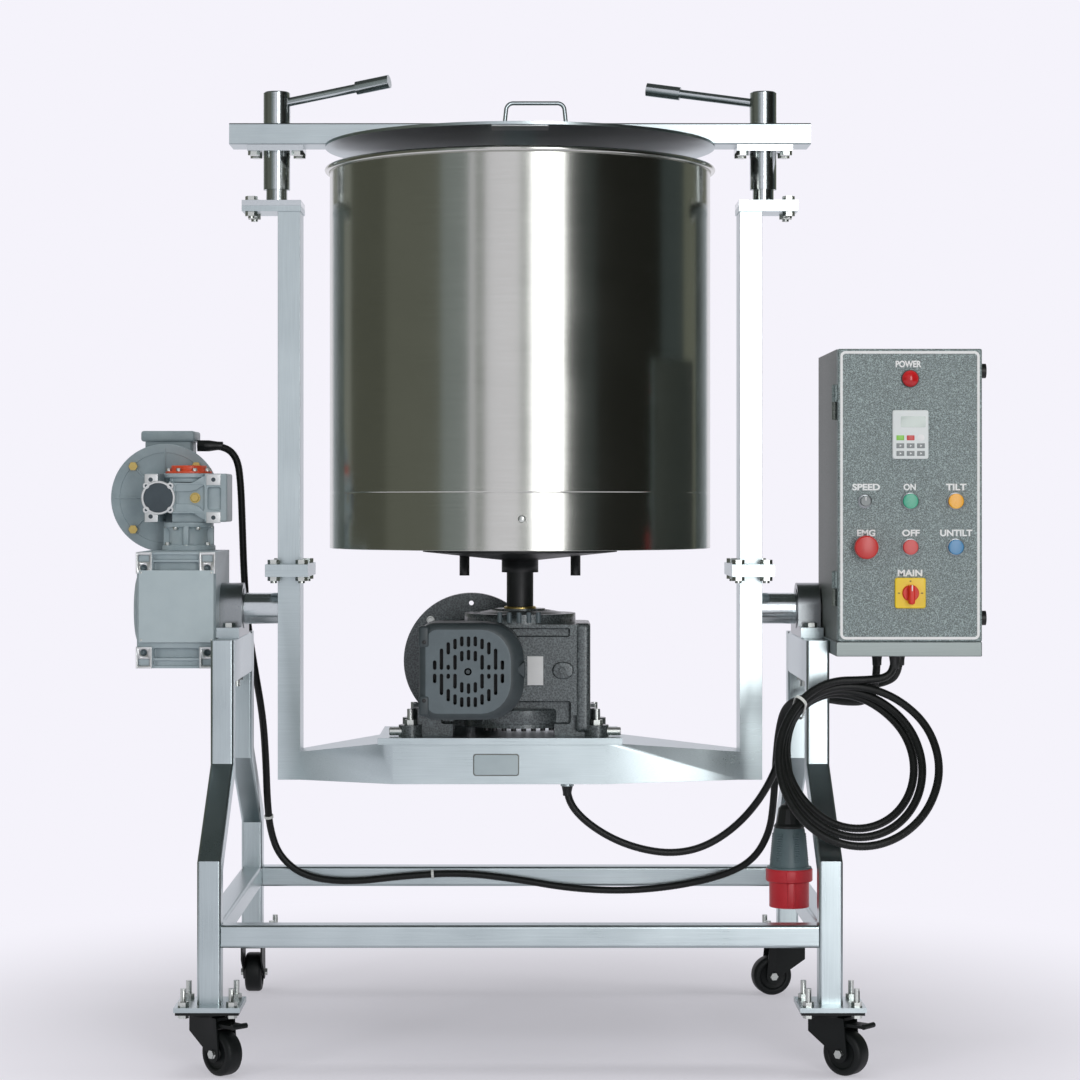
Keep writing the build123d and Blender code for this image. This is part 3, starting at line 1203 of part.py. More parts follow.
def door_fittings():
    """Bezels, keypad, lamp and switch plate on the door's face."""
    places = control_places()
    front = PANEL_FRONT
    solids = []
    for name in PUSHED:
        x, z = places[name]
        ring = rod_y(BEZEL_R, x, (front - BEZEL_T, front), z)
        solids.append(ring - rod_y(BUTTON_R + GAP, x, (front - BEZEL_T - 1, front + 1), z))
    x, z = places["speed_knob"]
    ring = rod_y(SPEED_KNOB_R + 3, x, (front - 2, front), z)
    solids.append(ring - rod_y(SPINDLE_R + GAP, x, (front - 3, front + 1), z))
    x, z = places["main_switch"]
    half = MAIN_PLATE / 2
    plate = block((x - half, x + half), (front - MAIN_PLATE_T, front), (z - half, z + half))
    solids.append(plate - rod_y(SPINDLE_R + GAP, x, (front - MAIN_PLATE_T - 1, front + 1), z))
    wide, tall, thick = KEYPAD
    z = PANEL_TOP - KEYPAD_DROP
    solids.append(block((PANEL_MID_X - wide / 2, PANEL_MID_X + wide / 2), (front - thick, front),
                        (z - tall / 2, z + tall / 2)))
    lamp = rod_y(BEZEL_R, PANEL_MID_X, (front - BEZEL_T, front), PANEL_TOP - LAMP_DROP)
    solids.append(lamp + rod_y(BUTTON_R, PANEL_MID_X, (front - 14, front - BEZEL_T), PANEL_TOP - LAMP_DROP))
    return solids


def panel_controls():
    """Push buttons, the emergency mushroom, the speed knob and the main switch."""
    nodes = {}
    front = PANEL_FRONT
    back = PANEL_FRONT + 6
    for name, (x, z) in control_places().items():
        if name == "emergency_button":
            face = front - BEZEL_T - 8
            solid = rod_y(BUTTON_R, x, (face, back), z) + rod_y(ESTOP_R, x, (face - ESTOP_CAP_T, face), z)
            solid = fillet(solid.edges().group_by(Axis.Y)[0], 6.0)
        elif name in PUSHED:
            solid = rod_y(BUTTON_R, x, (front - BEZEL_T - BUTTON_STAND, back), z)
        elif name == "speed_knob":
            face = front - 2 - GAP
            solid = rod_y(SPEED_KNOB_R, x, (face - SPEED_KNOB_T, face), z)
            solid = solid + rod_y(SPINDLE_R, x, (face, back), z)
        else:
            face = front - MAIN_PLATE_T - GAP
            solid = rod_y(MAIN_KNOB_R, x, (face - 6, face), z) + rod_y(SPINDLE_R, x, (face, back), z)
            solid = solid + block((x - 5, x + 5), (face - 22, face - 6), (z - MAIN_KNOB_R + 1, z + MAIN_KNOB_R - 1))
        nodes[name] = [solid]
    for z, name in zip(LATCH_HEIGHTS, ("door_latch_lower", "door_latch_upper")):
        x = PANEL_X + PANEL_WIDTH
        knob = rod_x(LATCH_R, (x + GAP, x + GAP + LATCH_T), LATCH_Y, z)
        stem = rod_x(4.0, (x - 14, x + GAP), LATCH_Y, z)
        cam = block((x - 14, x - 9), (LATCH_Y - 4, LATCH_Y + 15), (z - 4, z + 4))
        nodes[name] = [knob + stem + cam]
    return nodes


# Leads, their glands, ties and the plug

TILT_LEAD_START = (TILT_MOTOR_X + TERMINAL_BOX[0] / 2, TERMINAL_Y, TERMINAL_Z + 28.0)
TILT_LEAD = [
    (TILT_LEAD_START[0] + GLAND_LENGTH, TERMINAL_Y, TILT_LEAD_START[2]),
    (-556.0, TERMINAL_Y, TILT_LEAD_START[2]),
    (-532.0, 230.0, 1034.0),
    (-526.0, 232.0, 985.0),
    (-523.0, 232.0, 905.0),
    (-520.0, 231.0, 815.0),
    (-513.0, 230.0, 720.0),
    (-499.0, 235.0, 630.0),
    (-486.0, 250.0, 545.0),
    (-483.0, 280.0, 460.0),
    (-484.0, 318.0, 380.0),
    (-480.0, 341.0, 318.0),
    (-462.0, 346.0, 268.0),
    (-415.0, 346.4, 230.0),
    (-330.0, 345.0, 219.0),
    (-220.0, 346.0, 232.0),
    (-112.0, 346.4, 238.0),
    (-10.0, 345.0, 226.0),
    (95.0, 343.0, 208.0),
    (200.0, 341.0, 203.0),
    (300.0, 342.0, 212.0),
    (390.0, 342.0, 232.0),
    (448.0, 338.0, 262.0),
    (478.0, 318.0, 318.0),
    (483.0, 284.0, 385.0),
    (482.0, 240.0, 455.0),
    (483.0, 188.0, 525.0),
    (490.0, 134.0, 574.0),
    (516.0, 78.0, 594.0),
    (550.0, 18.0, 596.0),
    (584.0, -46.0, 594.0),
    (612.0, -108.0, 600.0),
    (TILT_GLAND[0], TILT_GLAND[1], 632.0),
    (*TILT_GLAND, GLAND_BOTTOM),
]
DRIVE_LEAD = [
    (*BEAM_GLAND, BEAM_BOTTOM - BEAM_GLAND_LENGTH),
    (BEAM_GLAND[0], BEAM_GLAND[1], 416.0),
    (112.0, 1.0, 380.0),
    (162.0, 2.0, 346.0),
    (218.0, 4.0, 325.0),
    (276.0, 6.0, 317.0),
    (332.0, 8.0, 328.0),
    (386.0, 9.0, 362.0),
    (430.0, 8.0, 410.0),
    (462.0, 4.0, 468.0),
    (478.0, 0.0, 528.0),
    (500.0, -10.0, 582.0),
    (544.0, -30.0, 616.0),
    (594.0, -62.0, 625.0),
    (638.0, -104.0, 630.0),
    (DRIVE_GLAND[0], DRIVE_GLAND[1], 650.0),
    (*DRIVE_GLAND, GLAND_BOTTOM),
]


def rounded_route(points, name):
    """Straight runs joined by arcs as large as the runs beside them allow."""
    places = [Vector(*point) for point in points]
    radii = []
    for before, here, after in zip(places, places[1:], places[2:]):
        first = here - before
        second = after - here
        turn = radians(first.get_angle(second))
        radii.append(0.45 * min(first.length, second.length) / tan(turn / 2))
    print(name, "radii", [round(radius) for radius in radii])
    return FilletPolyline(*places, radius=radii)


def coil_place(turn):
    """Point on the hanging coil: turns shrink and step to the rear, and gather at the tie."""
    angle = radians(COIL_START_DEG + 360 * turn)
    gather = max(0.0, cos(angle - radians(COIL_TIE_DEG))) ** 2
    slack = COIL_SLACK * exp(-((turn - 0.82) / 0.13) ** 2)
    lift = COIL_ENTRY * exp(-(turn / 0.14) ** 2)
    radius = COIL_R - COIL_SHRINK * turn * (1 - 0.7 * gather) + slack + lift
    x, y, z = COIL_CENTRE
    rise = radius * sin(angle)
    return Vector(x + radius * cos(angle), y + COIL_LEAN * rise + COIL_STEP * turn, z + rise)


def coil_heading(turn):
    """Direction of the coil at a point."""
    step = 0.001
    return (coil_place(turn + step) - coil_place(turn - step)).normalized()


def biarc(start, start_way, end, end_way):
    """Two arcs that join two points with given directions."""
    across = end - start
    both = start_way + end_way
    a = both.dot(both) - 4
    b = -2 * across.dot(both)
    c = across.dot(across)
    if abs(a) < 1e-9:
        reach = -c / b
    else:
        reach = (-b - sqrt(b * b - 4 * a * c)) / (2 * a)
    middle = (start + start_way * reach + end - end_way * reach) * 0.5
    heading = (end - end_way * reach - start - start_way * reach).normalized()
    return [Edge.make_tangent_arc(start, start_way, middle), Edge.make_tangent_arc(middle, heading, end)]


def mains_stations():
    """Points and directions along the mains lead, from the panel's gland to the plug."""
    down = Vector(0, 0, -1)
    stations = [
        (Vector(*MAINS_GLAND, GLAND_BOTTOM), down),
        (Vector(*MAINS_GLAND, GLAND_BOTTOM - 2 * LEAD_R), down),
    ]
    turns = [COIL_TOP_TURN] + [step / 4 for step in range(1, int(COIL_TURNS * 4) + 1)]
    for turn in turns:
        stations.append((coil_place(turn), coil_heading(turn)))
    top = PLUG_BOTTOM + PLUG_BODY_LENGTH + PLUG_COLLAR_T + PLUG_GRIP_LENGTH + PLUG_NUT_LENGTH
    stations.append((Vector(*PLUG_AT, top + 2 * LEAD_R), down))
    stations.append((Vector(*PLUG_AT, top), down))
    return stations


def mains_path():
    """Unbroken line of the mains lead."""
    edges = []
    stations = mains_stations()
    for (start, start_way), (end, end_way) in zip(stations, stations[1:]):
        if (end - start).cross(start_way).length < 1e-6:
            edges.append(Edge.make_line(start, end))
        else:
            edges += biarc(start, start_way, end, end_way)
    return Wire(edges)


def lead_solid(path, name):
    """Round tube along a lead's path, with its volume set against section times length."""
    profile = Plane(origin=path @ 0, z_dir=path % 0) * Circle(LEAD_R)
    solid = sweep(profile, path=path)
    ratio = solid.volume / (pi * LEAD_R ** 2 * path.length)
    print(name, "length", round(path.length), "volume ratio", round(ratio, 4))
    return solid


def least_self_gap(path, name):
    """Print the least gap between far parts of one lead, measured on points."""
    count = int(path.length / 8)
    places = [path.position_at(step / count) for step in range(count + 1)]
    skip = int(8 * LEAD_R / 8)
    gaps = [(a - b).length for i, a in enumerate(places) for b in places[i + skip:]]
    print(name, "least gap to itself", round(min(gaps) - 2 * LEAD_R, 2))


def mains_plug():
    """Hanging industrial plug: pin shroud with its collar, and the grip with its nut."""
    z = PLUG_BOTTOM
    shroud = rod_z(PLUG_BODY_R, *PLUG_AT, (z, z + PLUG_BODY_LENGTH))
    shroud = shroud - rod_z(PLUG_BODY_R - 4, *PLUG_AT, (z - 1, z + PLUG_BODY_LENGTH - 6))
    z += PLUG_BODY_LENGTH
    shroud = shroud + rod_z(PLUG_COLLAR_R, *PLUG_AT, (z, z + PLUG_COLLAR_T))
    z += PLUG_COLLAR_T
    wide = Pos(*PLUG_AT, z) * Circle(PLUG_GRIP_R + 4)
    slim = Pos(*PLUG_AT, z + PLUG_GRIP_LENGTH) * Circle(PLUG_GRIP_R - 3)
    grip = loft([wide, slim])
    z += PLUG_GRIP_LENGTH
    grip = grip + rod_z(PLUG_NUT_R, *PLUG_AT, (z, z + PLUG_NUT_LENGTH))
    return [shroud, grip]


def ring_tie(place, heading):
    """Cable tie round one lead."""
    plane = Plane(origin=place, z_dir=heading)
    inner = LEAD_R + 0.2
    ring = Cylinder(inner + TIE_T, TIE_WIDTH) - Cylinder(inner, TIE_WIDTH + 2)
    return plane * ring


def coil_tie():
    """Long tie round the gathered turns of the coil."""
    turn = (COIL_TIE_DEG - COIL_START_DEG) / 360
    places = [coil_place(turn + step) for step in range(int(COIL_TURNS) + 1)]
    across = places[-1] - places[0]
    middle = (places[0] + places[-1]) * 0.5
    heading = coil_heading(turn + 1)
    plane = Plane(origin=middle, x_dir=across, z_dir=heading)
    inner = LEAD_R + 4.0
    long = across.length + 2 * inner
    outline = SlotOverall(long + 2 * TIE_T, 2 * (inner + TIE_T)) - SlotOverall(long, 2 * inner)
    return plane * Pos(Z=-TIE_WIDTH / 2) * extrude(outline, TIE_WIDTH)


def cable_fittings():
    """Glands and ties that hold the leads on the base."""
    solids = []
    for x, y in (MAINS_GLAND, TILT_GLAND, DRIVE_GLAND):
        cap = rod_z(GLAND_R, x, y, (GLAND_BOTTOM, PANEL_Z))
        solids.append(cap)
    start = TILT_LEAD_START[0]
    solids.append(rod_x(GLAND_R, (start, start + GLAND_LENGTH), TERMINAL_Y, TILT_LEAD_START[2]))
    for run in (10, 15):
        start, end = Vector(*TILT_LEAD[run]), Vector(*TILT_LEAD[run + 1])
        solids.append(ring_tie((start + end) * 0.5, (end - start).normalized()))
    solids.append(coil_tie())
    return solids


# The whole grinder

def leads():
    """The three leads, with the plug, glands and ties."""
    tilt_path = rounded_route(TILT_LEAD, "tilt_motor_lead")
    drive_path = rounded_route(DRIVE_LEAD, "main_motor_lead")
    supply_path = mains_path()
    least_self_gap(supply_path, "mains_lead")
    return {
        "tilt_motor_lead": [lead_solid(tilt_path, "tilt_motor_lead")],
        "main_motor_lead": [lead_solid(drive_path, "main_motor_lead")],
        "mains_lead": [lead_solid(supply_path, "mains_lead")],
        "mains_plug": mains_plug(),
        "cable_fittings": cable_fittings(),
    }


CORDS = ("tilt_motor_lead", "main_motor_lead", "mains_lead", "mains_plug")


def all_nodes():
    """Every named piece, about the drum's axis."""
    nodes = {
        "side_frame_left": side_frame(-1),
        "side_frame_right": side_frame(1),
        "cross_rails": [cross_rail(-1), cross_rail(1)],
        "foot_plates": foot_plates(),
        "base_bolts": base_bolts(),
        "pillow_blocks": [pillow_block(-1), pillow_block(1)],
        "tilt_gearbox": [tilt_gearbox()],
        "tilt_primary_gearbox": [tilt_primary_gearbox()],
        "tilt_motor": [tilt_motor()],
        "tilt_worm": [tilt_worm()],
        "panel_bracket": [panel_bracket()],
        "panel_enclosure": [panel_enclosure()],
        "panel_chassis": panel_chassis(),
        "panel_door": panel_door(),
        "door_fittings": door_fittings(),
        "yoke_cradle": [yoke_cradle()],
        "yoke_posts": [yoke_post(-1), yoke_post(1)],
        "yoke_bolts": yoke_bolts(),
        "trunnions": trunnions(),
        "main_gearbox": [main_gearbox()],
        "main_motor": main_motor(),
        "main_worm": [main_worm()],
        "worm_wheel": [worm_wheel()],
        "top_crossbar": [top_crossbar()],
        "clamp_posts": [clamp_post(-1), clamp_post(1)],
        "clamp_lever_left": [clamp_lever(-1, LEVER_YAW["left"])],
        "clamp_lever_right": [clamp_lever(1, LEVER_YAW["right"])],
        "lid_rear": [lid_rear()],
        "lid_flap": lid_flap(),
        "drum_shell": [drum_shell()],
        "base_stone": [base_stone()],
        "drum_hub": [drum_hub()],
        "drive_shaft": [drive_shaft()],
        "roller_carrier": roller_carrier(),
        "roller_left": [roller(-1)],
        "roller_right": [roller(1)],
    }
    nodes.update(casters())
    nodes.update(panel_controls())
    nodes.update(leads())
    return nodes


def footprint_centre(nodes):
    """Middle of the bottom of the box round everything but the leads."""
    solids = [solid for name, group in nodes.items() if name not in CORDS for solid in group]
    box = Compound(solids).bounding_box()
    return Vector((box.min.X + box.max.X) / 2, (box.min.Y + box.max.Y) / 2, box.min.Z)


NODES = all_nodes()
ORIGIN = footprint_centre(NODES)
print("origin", [round(value, 3) for value in ORIGIN], "nodes", len(NODES))
os.makedirs("parts", exist_ok=True)
for node_name, group in NODES.items():
    placed = [Pos(*(-ORIGIN)) * solid for item in group for solid in item.solids()]
    shape = placed[0] if len(placed) == 1 else Compound(placed)
    export_step(shape, f"parts/{node_name}.step")
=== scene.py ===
# %% [markdown]
# A tilting chocolate grinder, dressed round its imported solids.
# The solids fix every size and every joint, so this lesson only adds surfaces and finishes.
# Lengths below are written in millimetres about the drum's axis, because that is how the machine
# is measured, and one function turns them into metres in the model's own frame.

# %% Load the frame
import json
from math import pi, radians, tau

import bmesh
import bpy
import numpy as np
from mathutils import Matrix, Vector


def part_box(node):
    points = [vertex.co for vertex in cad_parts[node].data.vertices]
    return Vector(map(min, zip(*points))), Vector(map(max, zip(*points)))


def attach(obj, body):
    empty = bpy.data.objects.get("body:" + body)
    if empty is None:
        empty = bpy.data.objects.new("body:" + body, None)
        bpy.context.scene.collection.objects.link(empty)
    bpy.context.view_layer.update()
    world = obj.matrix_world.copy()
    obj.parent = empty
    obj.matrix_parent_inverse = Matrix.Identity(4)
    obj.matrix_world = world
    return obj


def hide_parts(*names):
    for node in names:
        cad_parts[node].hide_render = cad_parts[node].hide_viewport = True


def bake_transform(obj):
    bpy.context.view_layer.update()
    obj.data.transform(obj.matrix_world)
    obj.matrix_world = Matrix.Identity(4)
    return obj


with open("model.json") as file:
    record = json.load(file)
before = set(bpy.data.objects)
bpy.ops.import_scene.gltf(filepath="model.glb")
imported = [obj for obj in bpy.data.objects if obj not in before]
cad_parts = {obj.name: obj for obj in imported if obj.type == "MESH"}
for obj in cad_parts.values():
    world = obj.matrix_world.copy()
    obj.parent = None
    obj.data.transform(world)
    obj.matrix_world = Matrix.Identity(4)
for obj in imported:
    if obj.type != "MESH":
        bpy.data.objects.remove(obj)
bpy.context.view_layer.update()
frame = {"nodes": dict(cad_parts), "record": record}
drum_low, drum_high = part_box("drum_shell")
AXIS = np.array([(drum_low.x + drum_high.x) / 2, (drum_low.y + drum_high.y) / 2, 0.0])


def metres(points):
    """Millimetres about the drum's axis, as metres in the model's frame."""
    return np.asarray(points, float) / 1000.0 + AXIS


def added(name, data):
    """New object in the scene that shows the given data."""
    thing = bpy.data.objects.new(name, data)
    bpy.context.scene.collection.objects.link(thing)
    return thing


print("nodes", len(frame["nodes"]), "drum axis", AXIS.round(5))

# %% [markdown]
# The camera stands five metres in front, level, a little below the drum's middle, with a long lens.
# The lens shift keeps the verticals upright and puts the machine where a level camera would crop it.

# %% Camera
CAMERA_Y = -5070.0
CAMERA_Z = 955.0
PICTURE = 1080
camera_data = bpy.data.cameras.new("camera")
camera_data.lens = 93.8
camera_data.sensor_width = 36.0
camera_data.shift_x = 20 / PICTURE
camera_data.shift_y = -40 / PICTURE
camera = added("camera", camera_data)
camera.location = metres((0.0, CAMERA_Y, CAMERA_Z))
camera.rotation_euler = (radians(90), 0, 0)
bpy.context.scene.camera = camera
bpy.context.scene.view_settings.view_transform = "Standard"

# %% [markdown]
# Every material is built from nodes. One helper adds a node, sets its properties and feeds its inputs,
# and one function turns a colour given in hex into the linear values that shaders use.

# %% Node helpers


def linear(code):
    """sRGB hex colour as linear RGBA."""
    srgb = np.array([int(code[i:i + 2], 16) for i in (1, 3, 5)]) / 255
    low = srgb / 12.92
    high = ((srgb + 0.055) / 1.055) ** 2.4
    return (*np.where(srgb <= 0.04045, low, high), 1.0)


def add(tree, kind, links=None, **settings):
    """One node with its settings, its inputs fed from values or from other nodes' sockets."""
    node = tree.nodes.new("ShaderNode" + kind)
    for key, value in settings.items():
        setattr(node, key, value)
    for key, value in (links or {}).items():
        if isinstance(value, bpy.types.NodeSocket):
            tree.links.new(value, node.inputs[key])
        else:
            node.inputs[key].default_value = value
    return node


def finish(name, **sockets):
    """New material with one Principled shader; plain values go straight on its sockets."""
    material = bpy.data.materials.new(name)
    material.use_nodes = True
    tree = material.node_tree
    shader = tree.nodes["Principled BSDF"]
    for key, value in sockets.items():
        shader.inputs[key.replace("_", " ")].default_value = value
    return material, tree, shader


def spread(tree, stretch=(1, 1, 1)):
    """Object coordinates, stretched, so that a pattern keeps its size on every piece."""
    place = add(tree, "TexCoord")
    mapping = add(tree, "Mapping", {"Vector": place.outputs["Object"], "Scale": stretch})
    return mapping.outputs["Vector"]


def tint(tree, factor, first, second):
    """Colour between two hex colours."""
    mix = add(tree, "Mix", data_type="RGBA")
    tree.links.new(factor, mix.inputs["Factor"])
    mix.inputs[6].default_value = linear(first)
    mix.inputs[7].default_value = linear(second)
    return mix.outputs[2]


def scaled(tree, value, low, high):
    """A 0 to 1 pattern as a value between two limits."""
    ranged = add(tree, "MapRange", {"Value": value, "To Min": low, "To Max": high})
    return ranged.outputs["Result"]


def between(tree, value, low, high):
    """The part of a pattern between two limits, stretched to 0 to 1."""
    return add(tree, "MapRange", {"Value": value, "From Min": low, "From Max": high}).outputs["Result"]


def combined(tree, operation, first, second):
    """Two values put together by one operation."""
    return add(tree, "Math", {0: first, 1: second}, operation=operation).outputs["Value"]


def noise(tree, where, scale, detail, roughness=0.5):
    """Cloudy pattern with so many patches to a metre."""
    sockets = {"Vector": where, "Scale": scale, "Detail": detail, "Roughness": roughness}
    return add(tree, "TexNoise", sockets).outputs["Fac"]


def cells(tree, where, scale):
    """Distance from the middle of the nearest cell, with so many cells to a metre."""
    return add(tree, "TexVoronoi", {"Vector": where, "Scale": scale}).outputs["Distance"]


def painted(tree, shader, factor, tones, rough=None):
    """Colour between two tones, and roughness between two limits where given, by one pattern."""
    tree.links.new(tint(tree, factor, *tones), shader.inputs["Base Color"])
    if rough:
        tree.links.new(scaled(tree, factor, *rough), shader.inputs["Roughness"])


def bumped(tree, shader, height, depth_mm):
    """Relief of a real depth on the shader's normal."""
    bump = add(tree, "Bump", {"Height": height, "Strength": 1.0, "Distance": depth_mm / 1000})
    tree.links.new(bump.outputs["Normal"], shader.inputs["Normal"])


# %% [markdown]
# The photo's ground is a pale sweep that darkens a little under the machine. Here the floor is one disc
# that fades into the world's colour, so no horizon shows. Camera, glossy and transmitted rays see that
# pale colour, and other rays see a plain grey room, so the background adds little light. In a studio,
# dark cards beside the camera darken parts of bright metal. They stand here as curved walls that only
# reflections meet, because flat lamps alone leave steel too even.

# %% World, floor and cards
FLOOR_R = 3.2
FLOOR_Z = -0.0002
PALE = "#f5f3fb"
FLOOR = "#eceaf2"
ROOM = "#7c7c7a"
world = bpy.data.worlds.new("studio")
bpy.context.scene.world = world
world.use_nodes = True
sky = world.node_tree
sky.nodes.clear()


def seen_rays(tree):
    """1 for camera, glossy and transmitted rays, 0 for the rest."""
    rays = add(tree, "LightPath")
    seen = rays.outputs["Is Camera Ray"]
    for kind in ("Is Glossy Ray", "Is Transmission Ray"):
        seen = combined(tree, "MAXIMUM", seen, rays.outputs[kind])
    return seen


light = add(sky, "Background", {"Color": tint(sky, seen_rays(sky), ROOM, PALE), "Strength": 1.0})
add(sky, "OutputWorld", {"Surface": light.outputs["Background"]})

floor_material, tree, shader = finish("pale_floor", Roughness=0.9)
place = add(tree, "TexCoord")
reach = add(tree, "VectorMath", {0: place.outputs["Object"]}, operation="LENGTH")
span = {"Value": reach.outputs["Value"], "From Min": 0.3, "From Max": 1.7, "To Min": 0.3}
fade = add(tree, "MapRange", span, interpolation_type="SMOOTHSTEP")
seen = combined(tree, "MULTIPLY", fade.outputs["Result"], seen_rays(tree))
shader.inputs["Base Color"].default_value = linear(FLOOR)
glow = add(tree, "Emission", {"Color": linear(PALE), "Strength": 1.0})
blend = add(tree, "MixShader", {0: seen, 1: shader.outputs["BSDF"], 2: glow.outputs["Emission"]})
tree.links.new(blend.outputs["Shader"], tree.nodes["Material Output"].inputs["Surface"])


def round_sheet(radius, height, count):
    """Points and the one face of a flat disc, in metres."""
    turn = np.linspace(0, tau, count, endpoint=False)
    rim = np.stack([radius * np.cos(turn), radius * np.sin(turn), np.full(count, height)], axis=1)
    return rim, [list(range(count))]


def sheet(name, material, points, faces):
    """Object of one material for the studio, not for the machine."""
    mesh = bpy.data.meshes.new(name)
    mesh.from_pydata(points.tolist(), [], faces)
    mesh.materials.append(material)
    return added(name, mesh)


floor = sheet("floor", floor_material, *round_sheet(FLOOR_R, FLOOR_Z, 96))

# Each card: its edges in degrees round from the camera towards the right, and its tone.
CARDS = {
    "back_left": (-150, -118, "#84877f"),
    "far_left": (-118, -84, "#585a50"),
    "left": (-84, -46, "#6a6c62"),
    "left_soft": (-46, -29, "#8a9190"),
    "left_slit": (-26, -20, "#9a9e9c"),
    "middle_slit": (0, 5, "#9a9e9d"),
    "right_soft": (25, 44, "#2f3634"),
    "right": (44, 90, "#1c1d18"),
    "right_gap": (90, 112, "#3f4747"),
    "far_right": (112, 150, "#6d7064"),
}
CARD_R = 4.8
CARD_STEPS = 24
CEILING_Z = 5.5


def card(name, tone, points, faces):
    """Card of one even tone that only reflections meet."""
    glow = {"Emission_Color": linear(tone), "Emission_Strength": 1.0}
    material = finish("card_" + name, Roughness=1.0, Base_Color=(0, 0, 0, 1), **glow)[0]
    thing = sheet("card_" + name, material, points, faces)
    thing.visible_camera = False
    thing.visible_diffuse = False
    thing.visible_shadow = False


for name, (start, end, tone) in CARDS.items():
    turn = np.radians(np.linspace(start, end, CARD_STEPS))
    ring = np.stack([CARD_R * np.sin(turn), -CARD_R * np.cos(turn)], axis=1)
    wall = np.concatenate([np.insert(ring, 2, level, axis=1) for level in (-2.0, CEILING_Z)])
    card(name, tone, wall, [(i, i + 1, i + 1 + CARD_STEPS, i + CARD_STEPS) for i in range(CARD_STEPS - 1)])
card("ceiling", "#454a48", *round_sheet(CARD_R, CEILING_Z, 48))

# %% [markdown]
# Five area lamps light the machine: a key near the camera, a strip on the left, one at each edge and
# one above. Only the key shows in reflections, because the cards and the pale room do that work.

# %% Lamps
# Each lamp: its place, its width and height in metres, and its power in watts.
LAMPS = {
    "key": ((1.3, -4.6, 1.5), (1.2, 3.0), 62.0),
    "left_strip": ((-3.0, -3.6, 1.5), (0.7, 2.6), 34.0),
    "right_edge": ((3.8, -0.6, 1.6), (0.8, 2.6), 34.0),
    "left_edge": ((-3.8, 0.4, 1.6), (0.8, 2.6), 16.0),
    "top": ((0.0, -0.4, 4.2), (2.6, 2.0), 46.0),
}
AIM = Vector((0.0, 0.0, 0.95))
for name, (spot, size, power) in LAMPS.items():
    lamp = bpy.data.lights.new(name, "AREA")
    lamp.shape = "RECTANGLE"
    lamp.size, lamp.size_y = size
    lamp.energy = power
    holder = added(name, lamp)
    holder.location = spot
    aim = AIM - Vector(spot)
    holder.rotation_euler = aim.to_track_quat("-Z", "Y").to_euler()
    holder.visible_glossy = name == "key"
print("lamps", len(LAMPS))

# %% [markdown]
# Stainless steel is a neutral metal. On tube it is brushed along its length, which stretches highlights
# across the brushing and leaves faint streaks. The streaks are drawn about 1 mm wide, coarser than real
# ones, because finer ones would not show. Two directions are enough: upright and across.

# %% Stainless steel


def brushed_steel(name, stretch, tones, rough, streak_depth=0.012):
    """Brushed stainless: streaks from noise stretched along the brushing, over broad soft patches."""
    material, tree, shader = finish(name, Metallic=1.0)
    streak = noise(tree, spread(tree, stretch), 1.0, 4.0)
    patch = noise(tree, spread(tree), 9.0, 2.0)
    half = combined(tree, "MULTIPLY", combined(tree, "ADD", streak, patch), 0.5)
    painted(tree, shader, half, tones, rough)
    bumped(tree, shader, streak, streak_depth)
    return material


UPRIGHT, ACROSS = (900, 900, 12), (12, 900, 900)
STAINLESS = ("#9aa6a8", "#cdd8da")
BRUSHED = (0.2, 0.42)
STEEL_UPRIGHT = brushed_steel("stainless_brushed_upright", UPRIGHT, STAINLESS, BRUSHED)
STEEL_ACROSS = brushed_steel("stainless_brushed_across", ACROSS, STAINLESS, BRUSHED)
STEEL_DULL = brushed_steel("stainless_sheet_dull", ACROSS, ("#6a7271", "#98a09e"), (0.38, 0.55))
STEEL_DRUM = brushed_steel("stainless_drum_sheet", (14, 14, 700), ("#b9bab4", "#cfd0ca"), (0.12, 0.22), 0.004)


def turned_metal(name, size, tones, rough, depth):
    """Metal without a brushing direction: the streaks become fine even grain."""
    return brushed_steel(name, (size, size, size), tones, rough, depth)


STEEL_POLISHED = turned_metal("stainless_turned_bright", 300, ("#b4bbbd", "#cfd6d7"), (0.12, 0.26), 0.004)
ZINC = turned_metal("zinc_plated_steel", 250, ("#b9bdb8", "#d2d6d2"), (0.22, 0.4), 0.01)
YELLOW_ZINC = turned_metal("yellow_passivated_zinc", 250, ("#b59a52", "#d3bf7f"), (0.25, 0.42), 0.01)
GROUND_STEEL = turned_metal("ground_tool_steel", 300, ("#83888a", "#a3a8aa"), (0.22, 0.38), 0.008)
BRONZE = turned_metal("cut_bronze", 200, ("#9c7440", "#bd9150"), (0.25, 0.4), 0.01)

# %% [markdown]
# Cast parts are painted. The main gearbox has hammer paint: the wet film pulls into hollow cells a few
# millimetres wide, with bright flake on the ridges between them. The tilt gearboxes are sprayed smooth,
# so only a little orange peel shows. The door's powder coat is a finer hammer finish with pale flecks.
# The box behind the door has a darker copy of that coat, with duller flecks, as painted shade for its
# sides, which face away from the light.

# %% Paints


def hammer_paint(name, ground, fleck, cell_mm, relief_mm, rough, gloss):
    """Hammer finish: shallow cells from a Voronoi pattern, with flake colour on their ridges."""
    material, tree, shader = finish(name, Metallic=gloss, Coat_Weight=gloss, Coat_Roughness=0.2)
    where = spread(tree)
    pits = cells(tree, where, 1000 / cell_mm)
    grain = noise(tree, where, 2200 / cell_mm, 3.0)
    level = between(tree, combined(tree, "MULTIPLY", pits, grain), 0.08, 0.5)
    painted(tree, shader, level, (ground, fleck), rough)
    bumped(tree, shader, pits, relief_mm)
    return material


